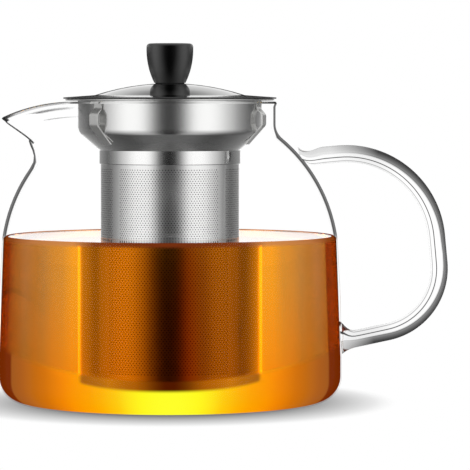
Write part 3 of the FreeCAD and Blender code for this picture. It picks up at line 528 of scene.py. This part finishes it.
# Spun steel with level grain, drawn coarser than it is. The bowl is duller than the cone, and the cone
# than the band.
GRAIN_WIDTH, GRAIN_STRETCH = 0.41667, 40
satin_steel, tree = new_material("stainless_steel_satin")
place = add_node(tree, "ShaderNodeTexCoord")
lines = add_node(tree, "ShaderNodeMapping", {
    "Vector": place.outputs["Object"], "Scale": (1.0, 1.0, GRAIN_STRETCH)})
grain = add_node(tree, "ShaderNodeTexNoise", {
    "Vector": lines.outputs["Vector"], "Scale": 1 / (GRAIN_WIDTH * GRAIN_STRETCH * MM), "Detail": 3.0})
height = add_node(tree, "ShaderNodeSeparateXYZ", {"Vector": place.outputs["Object"]})
part = add_node(tree, "ShaderNodeMapRange", {
    "Value": height.outputs["Z"], "From Min": 96 * MM, "From Max": 123 * MM})
finish = add_node(tree, "ShaderNodeValToRGB", {"Fac": part.outputs["Result"]}, stops=(
    (0.0, "#606060"), (0.22, "#606060"), (0.25, "#707070"), (0.48, "#707070"), (0.56, "#808080"),
    (1.0, "#808080")))
gloss = add_node(tree, "ShaderNodeMapRange", {"Value": grain.outputs["Fac"], "To Min": -0.02, "To Max": 0.02})
gloss = add_node(tree, "ShaderNodeMath", {
    0: finish.outputs["Color"], 1: gloss.outputs["Result"]}, operation="ADD")
steel = add_node(tree, "ShaderNodeBsdfPrincipled", {
    "Base Color": linear("#ECECEB"), "Metallic": 1.0, "Roughness": gloss.outputs["Value"]})
add_node(tree, "ShaderNodeOutputMaterial", {"Surface": steel.outputs["BSDF"]})
bm = trace(
    (42.1, 122.4), (42.1, 122.8, 180), (36.8, 123.2), (36.8, 111.3), (33.2, 111.3, -48.5), (28.2, 102.6),
    (28.2, 96.7), (28.4, 96.7), (28.4, 97.1, 90), (28.8, 102.3), (36.2, 108.7), (33.4, 111.3, 43),
    (37.4, 111.3), (37.4, 122.4), closed=True)
turn(bm, 160)
piece("infuser_collar_spun", bm, satin_steel, "infuser", "stainless_steel", "infuser_collar", smooth=30)


# Basket wall: stainless sheet with rows of fine round holes, rolled to a tube. The holes are drawn
# in one skin, a little wider apart than the real ones, which keeps the mesh small.

# Bright rolled sheet with a dull share, which keeps the rows of holes crisp. The inside has a dark
# base colour: painted shade.
sieve_steel, tree = new_material("stainless_steel_perforated")
facet = add_node(tree, "ShaderNodeNewGeometry")
# Painted shade: the back faces, the tube's inside, take a dark base colour.
tone = add_node(tree, "ShaderNodeMix", {
    "Factor": facet.outputs["Backfacing"], 6: linear("#E8E8E7"), 7: linear("#202020")}, data_type="RGBA")
steel = add_node(tree, "ShaderNodeBsdfPrincipled", {
    "Base Color": tone.outputs[2], "Metallic": 1.0, "Roughness": 0.12})
dull = add_node(tree, "ShaderNodeBsdfPrincipled", {
    "Base Color": tone.outputs[2], "Metallic": 1.0, "Roughness": 0.4})
both = add_node(tree, "ShaderNodeMixShader", {0: 0.28, 1: steel.outputs["BSDF"], 2: dull.outputs["BSDF"]})
add_node(tree, "ShaderNodeOutputMaterial", {"Surface": both.outputs["Shader"]})

# A sheet of painted shade in each dry hole: clear from outside and dark from inside, so that the far
# wall's holes stay dark.
dry_hole_shade, tree = new_material("stainless_steel_painted_hole_shade")
facet = add_node(tree, "ShaderNodeNewGeometry")
shaded = add_node(tree, "ShaderNodeMath", {0: facet.outputs["Backfacing"], 1: 0.65}, operation="MULTIPLY")
clear = add_node(tree, "ShaderNodeBsdfTransparent")
steel = add_node(tree, "ShaderNodeBsdfPrincipled", {
    "Base Color": linear("#303030"), "Metallic": 1.0, "Roughness": 0.4})
both = add_node(tree, "ShaderNodeMixShader", {
    0: shaded.outputs["Value"], 1: clear.outputs["BSDF"], 2: steel.outputs["BSDF"]})
add_node(tree, "ShaderNodeOutputMaterial", {"Surface": both.outputs["Shader"]})

BASKET = 28.2
ROWS, COLUMNS = 94, 152
FIELD = (12.9, 95.6)
HOLE = 0.36
OPEN_BELOW = 64
PLAIN_STRIPS = (49, 131)
STRIP = 8.8
UPPER_LAP, LOWER_RIM = 5.6, 2.3
bm = bmesh.new()
half_pitch = math.tau * BASKET / COLUMNS / 2
row_pitch = (FIELD[1] - FIELD[0]) / ROWS
bmesh.ops.create_grid(bm, x_segments=2 * COLUMNS, y_segments=ROWS, size=0.5)
centres, wet = [], []
for vert in bm.verts:
    column = round((vert.co.x + 0.5) * 2 * COLUMNS)
    row = round((vert.co.y + 0.5) * ROWS)
    vert.co = (column * half_pitch, row * row_pitch, 0)
    from_front = abs(column / COLUMNS * 180 - 180)
    plain = any(abs(from_front - strip) < STRIP / 2 for strip in PLAIN_STRIPS)
    if (row + column) % 2 and 0 < row < ROWS and not plain:
        (wet if FIELD[0] + row * row_pitch < OPEN_BELOW else centres).append(vert)
# A hole above the tea is filled with a sheet of painted shade, and a hole in the tea is open.
drilled = bmesh.ops.bevel(bm, geom=centres, offset=HOLE, offset_type="OFFSET", affect="VERTICES", segments=2,
                          profile=0.5, material=-1)
for face in drilled["faces"]:
    face.material_index = 1
drilled = bmesh.ops.bevel(bm, geom=wet, offset=HOLE, offset_type="OFFSET", affect="VERTICES", segments=2,
                          profile=0.5, material=-1)
bmesh.ops.delete(bm, geom=drilled["faces"], context="FACES_ONLY")
rims = {1: FIELD[1] - FIELD[0] + UPPER_LAP, 0: -LOWER_RIM}
for end, reach in rims.items():
    border = [e for e in bm.edges if len(e.link_faces) == 1
              and all(abs(v.co.y - end * ROWS * row_pitch) < 1e-4 for v in e.verts)]
    grown = bmesh.ops.extrude_edge_only(bm, edges=border)["geom"]
    for item in grown:
        if isinstance(item, bmesh.types.BMVert):
            item.co.y = reach
for vert in bm.verts:
    angle = math.pi / 2 + vert.co.x / BASKET
    vert.co = (BASKET * MM * math.cos(angle), BASKET * MM * math.sin(angle), (FIELD[0] + vert.co.y) * MM)
bmesh.ops.remove_doubles(bm, verts=bm.verts, dist=1e-6)
bmesh.ops.recalc_face_normals(bm, faces=bm.faces)
basket = piece(
    "basket_wall_perforated", bm, sieve_steel, "infuser", "perforated_steel", "basket_wall", smooth=30)
basket.data.materials.append(dry_hole_shade)


# Basket floor: a shallow pan pressed from steel sheet. Its lip stands inside the tube and is welded to it.
# It has the collar's finish.
bm = trace(
    (0, 8.6), (26.1, 8.6), (26.1, 10.2, 90), (27.7, 12.6), (27.2, 12.6), (27.2, 10.2), (26.1, 10.2, -90),
    (0, 9.1))
turn(bm, 96)
piece("basket_pan", bm, satin_steel, "infuser", "perforated_steel", "basket_floor", smooth=30)


# Tea in the basket: contents, darker than the rest because the leaves steep there. It is why no light comes
# through the holes below the surface.

# Wet and dark brown, mottled at the size of leaves.
LEAF_SIZE = 3.3333
steeping, tree = new_material("black_tea_steeping")
place = add_node(tree, "ShaderNodeTexCoord")
leaves = add_node(tree, "ShaderNodeTexNoise", {
    "Vector": place.outputs["Object"], "Scale": 1 / (LEAF_SIZE * MM), "Detail": 3.0})
brown = add_node(tree, "ShaderNodeValToRGB", {"Fac": leaves.outputs["Fac"]}, stops=(
    (0.35, "#180A02"), (0.65, "#321A0A")))
wet_look = add_node(tree, "ShaderNodeBsdfPrincipled", {
    "Base Color": brown.outputs["Color"], "Roughness": 0.4, "IOR": 1.333})
add_node(tree, "ShaderNodeOutputMaterial", {"Surface": wet_look.outputs["BSDF"]})
bm = trace((0, 9.4), (27.0, 9.4), (27.0, 12.8), (27.8, 12.9), (27.8, 66.4), (0, 66.4))
turn(bm, 96)
piece("tea_in_basket", bm, steeping, "infuser", "perforated_steel", smooth=30)


# Spring clips: three strips of spring steel, bent and spot-welded to the bowl by their upper tabs. The
# upright face presses on the neck, and the lower leg runs back towards the cone.

# Bright strip with rolling lines, drawn coarser than they are, which spread its reflections.
ROLLING_WIDTH, ROLLING_STRETCH = 0.4, 10
rolled_steel, tree = new_material("spring_steel_cold_rolled")
place = add_node(tree, "ShaderNodeTexCoord")
lines = add_node(tree, "ShaderNodeMapping", {
    "Vector": place.outputs["Object"], "Scale": (ROLLING_STRETCH, ROLLING_STRETCH, 1.0)})
grain = add_node(tree, "ShaderNodeTexNoise", {
    "Vector": lines.outputs["Vector"], "Scale": 1 / (ROLLING_WIDTH * ROLLING_STRETCH * MM), "Detail": 3.0})
gloss = add_node(tree, "ShaderNodeMapRange", {"Value": grain.outputs["Fac"], "To Min": 0.3, "To Max": 0.5})
leaf = add_node(tree, "ShaderNodeBsdfPrincipled", {
    "Base Color": linear("#F4F4F2"), "Metallic": 1.0, "Roughness": gloss.outputs["Result"]})
add_node(tree, "ShaderNodeOutputMaterial", {"Surface": leaf.outputs["BSDF"]})
CLIP_PATH = ((37.95, 121.2), (37.95, 119.4), (40.35, 117.0), (40.35, 112.6), (33.17, 104.8))
CLIP_WIDTH = 4.7
CLIP_SHEET = 0.5
CLIP_BEND = 0.7
for name, heading in (("clip_right", -18), ("clip_rear", 102), ("clip_front", 222)):
    bm = trace(*CLIP_PATH)
    bends = [vert for vert in bm.verts if len(vert.link_edges) == 2]
    bmesh.ops.bevel(bm, geom=bends, offset=CLIP_BEND * MM, affect="VERTICES", segments=4, profile=0.5,
                    material=-1)
    bmesh.ops.translate(bm, verts=bm.verts, vec=(0, -CLIP_WIDTH / 2 * MM, 0))
    grown = bmesh.ops.extrude_edge_only(bm, edges=bm.edges)["geom"]
    bmesh.ops.translate(bm, verts=[item for item in grown if isinstance(item, bmesh.types.BMVert)],
                        vec=(0, CLIP_WIDTH * MM, 0))
    bmesh.ops.recalc_face_normals(bm, faces=bm.faces)
    bmesh.ops.solidify(bm, geom=bm.faces, thickness=CLIP_SHEET * MM)
    swing = Matrix.Rotation(math.radians(heading), 3, "Z")
    bmesh.ops.rotate(bm, verts=bm.verts, cent=(0, 0, 0), matrix=swing)
    piece(name + "_leaf", bm, rolled_steel, name, "spring_steel", name, smooth=30)


# Lid: a dome pressed from stainless sheet and mirror-polished, with a flat drooping brim that is cut bright
# on a lathe and sheared at its edge.

# Mirror with a faint, patchy haze.
HAZE_SIZE = 5.5556
polished_steel, tree = new_material("stainless_steel_mirror_polished")
place = add_node(tree, "ShaderNodeTexCoord")
haze = add_node(tree, "ShaderNodeTexNoise", {
    "Vector": place.outputs["Object"], "Scale": 1 / (HAZE_SIZE * MM), "Detail": 4.0})
gloss = add_node(tree, "ShaderNodeMapRange", {"Value": haze.outputs["Fac"], "To Min": 0.03, "To Max": 0.09})
mirror = add_node(tree, "ShaderNodeBsdfPrincipled", {
    "Base Color": linear("#CFCFCE"), "Metallic": 1.0, "Roughness": gloss.outputs["Result"]})
add_node(tree, "ShaderNodeOutputMaterial", {"Surface": mirror.outputs["BSDF"]})

# Lathe-cut rings, drawn coarser than they are, which soften the mirror.
CUT_RING = 0.25
bright_steel, tree = new_material("stainless_steel_bright_cut")
place = add_node(tree, "ShaderNodeTexCoord")
round_it = add_node(tree, "ShaderNodeVectorMath", {
    0: place.outputs["Object"], 1: (1.0, 1.0, 0.0)}, operation="MULTIPLY")
radius = add_node(tree, "ShaderNodeVectorMath", {0: round_it.outputs["Vector"]}, operation="LENGTH")
cuts = add_node(tree, "ShaderNodeTexNoise", {
    "W": radius.outputs["Value"], "Scale": 1 / (CUT_RING * MM), "Detail": 2.0}, noise_dimensions="1D")
gloss = add_node(tree, "ShaderNodeMapRange", {"Value": cuts.outputs["Fac"], "To Min": 0.05, "To Max": 0.11})
mirror = add_node(tree, "ShaderNodeBsdfPrincipled", {
    "Base Color": linear("#F6F6F5"), "Metallic": 1.0, "Roughness": gloss.outputs["Result"]})
add_node(tree, "ShaderNodeOutputMaterial", {"Surface": mirror.outputs["BSDF"]})

# Dark and dull, as the cut edge of a sheet is, its dark base colour also painted shade of the gap
# beneath the brim.
BURR_SIZE = 1.1111
sheared_edge_shade, tree = new_material("stainless_steel_sheared_edge_painted_shade")
place = add_node(tree, "ShaderNodeTexCoord")
burr = add_node(tree, "ShaderNodeTexNoise", {
    "Vector": place.outputs["Object"], "Scale": 1 / (BURR_SIZE * MM), "Detail": 2.0})
gloss = add_node(tree, "ShaderNodeMapRange", {"Value": burr.outputs["Fac"], "To Min": 0.4, "To Max": 0.6})
dull = add_node(tree, "ShaderNodeBsdfPrincipled", {
    "Base Color": linear("#5A5A5A"), "Metallic": 1.0, "Roughness": gloss.outputs["Result"]})
add_node(tree, "ShaderNodeOutputMaterial", {"Surface": dull.outputs["BSDF"]})
bm = trace(
    (43.1, 123.2), (43.1, 123.5, 180), (42.9, 123.82), (31.3, 124.65), (30.9, 124.68), (30.5, 124.7),
    (0.065, 31.55, 14.036), (2.1, 129.3), (2.1, 128.7), (7, 128.7), (0.065, 30.95, -14.036), (30.9, 124.1),
    closed=True)
turn(bm, 192)
BRIM_START, BRIM_EDGE = 30.6, 43.12
# The brim's rounded outer edge takes the dark edge material, painted shade; the flat brim takes the bright
# cut.
for face in bm.faces:
    if face.calc_center_median().xy.length > BRIM_EDGE * MM:
        face.material_index = 2
    elif face.calc_center_median().xy.length > BRIM_START * MM:
        face.material_index = 1
lid = piece("lid_cover_dome", bm, polished_steel, "lid", "polished_steel", "lid_cover", smooth=12)
lid.data.materials.append(bright_steel)
lid.data.materials.append(sheared_edge_shade)


# Lid skirt: a plain ring of sheet under the dome, which drops into the bowl and keeps the lid central.
# It has the collar's finish.
bm = trace((36.2, 115.2), (36.2, 123.7), (35.6, 123.7), (35.6, 115.2), closed=True)
turn(bm, 128)
piece("lid_skirt_ring", bm, satin_steel, "lid", "stainless_steel", "lid_skirt", smooth=30)


# Knob: black phenolic plastic, moulded in one piece round its brass bush. It is wider at the top, so that
# two fingers lift it.

# Black with a fine moulded skin. Its reflections are real, but their strength is set by viewing angle,
# which paints the highlights towards both sides.
DIMPLE_SIZE, DIMPLE_DEPTH = 0.66667, 0.1
phenolic, tree = new_material("phenolic_plastic_moulded_black")
place = add_node(tree, "ShaderNodeTexCoord")
skin = add_node(tree, "ShaderNodeTexNoise", {
    "Vector": place.outputs["Object"], "Scale": 1 / (DIMPLE_SIZE * MM), "Detail": 2.0})
dimples = add_node(tree, "ShaderNodeBump", {
    "Height": skin.outputs["Fac"], "Strength": 0.1, "Distance": DIMPLE_DEPTH * MM})
gloss = add_node(tree, "ShaderNodeMapRange", {"Value": skin.outputs["Fac"], "To Min": 0.26, "To Max": 0.38})
edge = add_node(tree, "ShaderNodeLayerWeight", {"Blend": 0.5})
# Painted highlights: the reflection's strength rises with the viewing angle towards both sides.
side_highlight_level = add_node(tree, "ShaderNodeMapRange", {
    "Value": edge.outputs["Facing"], "From Min": 0.02, "From Max": 0.3, "To Min": 0.08, "To Max": 1.0})
plastic = add_node(tree, "ShaderNodeBsdfPrincipled", {
    "Base Color": linear("#020202"), "Roughness": gloss.outputs["Result"], "IOR": 1.7,
    "Specular IOR Level": side_highlight_level.outputs["Result"], "Normal": dimples.outputs["Normal"]})
add_node(tree, "ShaderNodeOutputMaterial", {"Surface": plastic.outputs["BSDF"]})
bm = trace((3.25, 129.7), (6.4, 129.7), (-21.18, 143.19, 28.13), (8.1, 144.3, 88), (0, 145.7))
turn(bm, 96)
piece("knob_moulded", bm, phenolic, "lid", "black_plastic", "knob", smooth=40)


# Knob fittings: a rubber ring keeps the knob off the polished dome, and a screw with a washer goes up from
# inside the lid into a brass bush in the knob. Their solids show as they are, with these finishes.

# Matt and dark, a little uneven.
PATCH_SIZE = 1.25
rubber, tree = new_material("silicone_rubber_pressed")
place = add_node(tree, "ShaderNodeTexCoord")
skin = add_node(tree, "ShaderNodeTexNoise", {
    "Vector": place.outputs["Object"], "Scale": 1 / (PATCH_SIZE * MM), "Detail": 2.0})
gloss = add_node(tree, "ShaderNodeMapRange", {"Value": skin.outputs["Fac"], "To Min": 0.5, "To Max": 0.7})
matt = add_node(tree, "ShaderNodeBsdfPrincipled", {
    "Base Color": linear("#161616"), "Roughness": gloss.outputs["Result"], "IOR": 1.41})
add_node(tree, "ShaderNodeOutputMaterial", {"Surface": matt.outputs["BSDF"]})

# Yellow brass and bright steel, both with turning lines, drawn coarser than they are.
CUT_WIDTH, CUT_STRETCH = 0.16667, 30
turned = {}
for name, colour, dullest in (("brass_turned", "#D9B668", 0.4), ("stainless_steel_turned", "#DCDCDA", 0.36)):
    turned[name], tree = new_material(name)
    place = add_node(tree, "ShaderNodeTexCoord")
    lines = add_node(tree, "ShaderNodeMapping", {
        "Vector": place.outputs["Object"], "Scale": (1.0, 1.0, CUT_STRETCH)})
    cuts = add_node(tree, "ShaderNodeTexNoise", {
        "Vector": lines.outputs["Vector"], "Scale": 1 / (CUT_WIDTH * CUT_STRETCH * MM), "Detail": 3.0})
    gloss = add_node(tree, "ShaderNodeMapRange", {
        "Value": cuts.outputs["Fac"], "To Min": 0.2, "To Max": dullest})
    metal = add_node(tree, "ShaderNodeBsdfPrincipled", {
        "Base Color": linear(colour), "Metallic": 1.0, "Roughness": gloss.outputs["Result"]})
    add_node(tree, "ShaderNodeOutputMaterial", {"Surface": metal.outputs["BSDF"]})

FITTINGS = {
    "knob_gasket": rubber, "knob_insert": turned["brass_turned"],
    "knob_washer": turned["stainless_steel_turned"], "knob_screw": turned["stainless_steel_turned"]}
for name, finish in FITTINGS.items():
    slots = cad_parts[name].data.materials
    slots.clear()
    slots.append(finish)


# Studio: a white floor with a painted shadow round the pot over a faint traced one, a card for the lid to
# mirror, soft boxes to both sides and the camera.

# White to the camera, with a painted shadow that darkens it close to the pot, and not there for what the
# steel mirrors.
floor_material, tree = new_material("studio_paper_white")
rays = add_node(tree, "ShaderNodeLightPath")
white = add_node(tree, "ShaderNodeEmission", {"Color": (1, 1, 1, 1), "Strength": 1.0})
seen = add_node(tree, "ShaderNodeMath", {
    0: rays.outputs["Is Camera Ray"], 1: rays.outputs["Is Transmission Ray"]}, operation="MAXIMUM")
place = add_node(tree, "ShaderNodeTexCoord")
# The painted shadow: darker by distance from the axis, reaching a little further front and back.
shape = add_node(tree, "ShaderNodeVectorMath", {
    0: place.outputs["Object"], 1: (1.05, 1.0, 1.0)}, operation="MULTIPLY")
reach = add_node(tree, "ShaderNodeVectorMath", {0: shape.outputs["Vector"]}, operation="LENGTH")
far = add_node(tree, "ShaderNodeMapRange", {
    "Value": reach.outputs["Value"], "From Min": 56 * MM, "From Max": 97 * MM, "To Min": 0.18, "To Max": 1.0})
share = add_node(tree, "ShaderNodeMath", {
    0: seen.outputs["Value"], 1: far.outputs["Result"]}, operation="MULTIPLY")
clear_of = add_node(tree, "ShaderNodeMapRange", {
    "Value": reach.outputs["Value"], "From Min": 88 * MM, "From Max": 100 * MM})
# Its dark diffuse colour close to the pot is painted shadow too.
shade = add_node(tree, "ShaderNodeMix", {
    "Factor": clear_of.outputs["Result"], 6: linear("#303030"), 7: linear("#F4F4F4")}, data_type="RGBA")
plain = add_node(tree, "ShaderNodeBsdfDiffuse", {"Color": shade.outputs[2]})
both = add_node(tree, "ShaderNodeMixShader", {
    0: share.outputs["Value"], 1: plain.outputs["BSDF"], 2: white.outputs["Emission"]})
mirrored = add_node(tree, "ShaderNodeMath", {
    0: rays.outputs["Glossy Depth"], 1: 0.5}, operation="GREATER_THAN")
clear = add_node(tree, "ShaderNodeBsdfTransparent")
open_floor = add_node(tree, "ShaderNodeMixShader", {
    0: mirrored.outputs["Value"], 1: both.outputs["Shader"], 2: clear.outputs["BSDF"]})
add_node(tree, "ShaderNodeOutputMaterial", {"Surface": open_floor.outputs["Shader"]})
FLOOR_RADIUS = 700
FLOOR_DROP = 0.4
bm = bmesh.new()
bmesh.ops.create_circle(bm, cap_ends=True, radius=FLOOR_RADIUS * MM, segments=96)
bmesh.ops.translate(bm, verts=bm.verts, vec=(0, 0, -FLOOR_DROP * MM))
floor = put("floor", bm, floor_material)
floor.visible_glossy = False

# Grey card behind the lid, out of the picture: the dome's far slope mirrors its bands, which draws the
# dome's outline.
card_material, tree = new_material("studio_card_grey")
place = add_node(tree, "ShaderNodeTexCoord")
height = add_node(tree, "ShaderNodeSeparateXYZ", {"Vector": place.outputs["Object"]})
up = add_node(tree, "ShaderNodeMapRange", {
    "Value": height.outputs["Z"], "From Min": 120 * MM, "From Max": 250 * MM})
tone = add_node(tree, "ShaderNodeValToRGB", {"Fac": up.outputs["Result"]}, stops=(
    (0.0, "#202020"), (0.22, "#303030"), (0.265, "#F0F0F0"), (0.32, "#FFFFFF"), (0.46, "#E8E8E8"),
    (0.65, "#D8D8D8"), (0.85, "#A8A8A8"), (1.0, "#707070")))
grey = add_node(tree, "ShaderNodeEmission", {"Color": tone.outputs["Color"], "Strength": 1.0})
add_node(tree, "ShaderNodeOutputMaterial", {"Surface": grey.outputs["Emission"]})
CARD_WIDTH, CARD_HEIGHT = 800, 160
CARD_PLACE = (0, 160, 201)
bm = bmesh.new()
bmesh.ops.create_grid(bm, x_segments=1, y_segments=1, size=0.5)
bmesh.ops.scale(bm, verts=bm.verts, vec=(CARD_WIDTH * MM, CARD_HEIGHT * MM, 1))
bmesh.ops.rotate(bm, verts=bm.verts, cent=(0, 0, 0), matrix=Matrix.Rotation(math.pi / 2, 3, "X"))
bmesh.ops.translate(bm, verts=bm.verts, vec=[c * MM for c in CARD_PLACE])
card = put("card", bm, card_material)
card.visible_camera = card.visible_transmission = card.visible_diffuse = card.visible_shadow = False

# The soft boxes are what the steel and the glass mirror. Seen past the pot or through it, the room is white.
world = bpy.data.worlds.new("studio")
scene.world = world
world.use_nodes = True
world.cycles.sampling_method = "NONE"
tree = world.node_tree
tree.nodes.clear()
rays = add_node(tree, "ShaderNodeLightPath")
place = add_node(tree, "ShaderNodeTexCoord")
axes = add_node(tree, "ShaderNodeSeparateXYZ", {"Vector": place.outputs["Generated"]})
side = add_node(tree, "ShaderNodeMath", {0: axes.outputs["X"]}, operation="ABSOLUTE")
front = add_node(tree, "ShaderNodeMath", {0: axes.outputs["Y"], 1: -1.0}, operation="MULTIPLY")
angle = add_node(tree, "ShaderNodeMath", {
    0: side.outputs["Value"], 1: front.outputs["Value"]}, operation="ARCTAN2")
share = add_node(tree, "ShaderNodeMath", {0: angle.outputs["Value"], 1: math.pi}, operation="DIVIDE")
boxes = add_node(tree, "ShaderNodeValToRGB", {"Fac": share.outputs["Value"]}, stops=(
    (0.0, "#1C1C1C"), (0.05, "#3C3C3C"), (0.09, "#7A7A7A"), (0.133, "#C4C4C4"), (0.178, "#F4F4F4"),
    (0.22, "#FFFFFF"), (0.3, "#FFFFFF"), (0.36, "#F0F0F0"), (0.41, "#D8D8D8"), (0.467, "#C0C0C0"),
    (0.53, "#989898"), (0.6, "#787878"), (0.67, "#606060"), (0.75, "#787878"), (0.87, "#909090"),
    (0.92, "#B0B0B0"), (0.94, "#FFFFFF")))
lit = add_node(tree, "ShaderNodeVectorMath", {0: boxes.outputs["Color"], "Scale": 1.15}, operation="SCALE")
below = add_node(tree, "ShaderNodeMapRange", {
    "Value": axes.outputs["Z"], "From Min": -0.17, "From Max": -0.8, "To Min": 1.0, "To Max": 0.4})
under = add_node(tree, "ShaderNodeVectorMath", {
    0: lit.outputs["Vector"], "Scale": below.outputs["Result"]}, operation="SCALE")
foot = add_node(tree, "ShaderNodeMapRange", {"Value": axes.outputs["Z"], "From Min": -0.9, "From Max": -0.98})
ground = add_node(tree, "ShaderNodeMix", {
    "Factor": foot.outputs["Result"], 6: under.outputs["Vector"], 7: linear("#606060")}, data_type="RGBA")
above = add_node(tree, "ShaderNodeMapRange", {"Value": axes.outputs["Z"], "From Min": 0.1, "From Max": 0.7})
over = add_node(tree, "ShaderNodeMix", {
    "Factor": above.outputs["Result"], 6: ground.outputs[2], 7: linear("#C0C0C0")}, data_type="RGBA")
mirrored = add_node(tree, "ShaderNodeMath", {
    0: rays.outputs["Glossy Depth"], 1: 0.5}, operation="GREATER_THAN")
through = add_node(tree, "ShaderNodeMix", {
    "Factor": rays.outputs["Is Transmission Ray"], 6: (1, 1, 1, 1), 7: (1.05, 1.05, 1.05, 1)},
    data_type="RGBA")
seen = add_node(tree, "ShaderNodeMix", {
    "Factor": mirrored.outputs["Value"], 6: through.outputs[2], 7: over.outputs[2]}, data_type="RGBA")
light = add_node(tree, "ShaderNodeBackground", {"Color": seen.outputs[2], "Strength": 1.0})
add_node(tree, "ShaderNodeOutputWorld", {"Surface": light.outputs["Background"]})

# The camera stands 1.2 m in front with a long lens and looks slightly down.
CAMERA_PLACE = (26.5, -1200, 122)
CAMERA_AIM = (26.5, 0, 67.7)
LENS = 225.5
camera = bpy.data.objects.new("camera", bpy.data.cameras.new("camera"))
scene.collection.objects.link(camera)
camera.location = [c * MM for c in CAMERA_PLACE]
aim = Vector([c * MM for c in CAMERA_AIM]) - camera.location
camera.rotation_euler = aim.to_track_quat("-Z", "Y").to_euler()
camera.data.lens = LENS
scene.camera = camera
scene.view_settings.view_transform = "Standard"
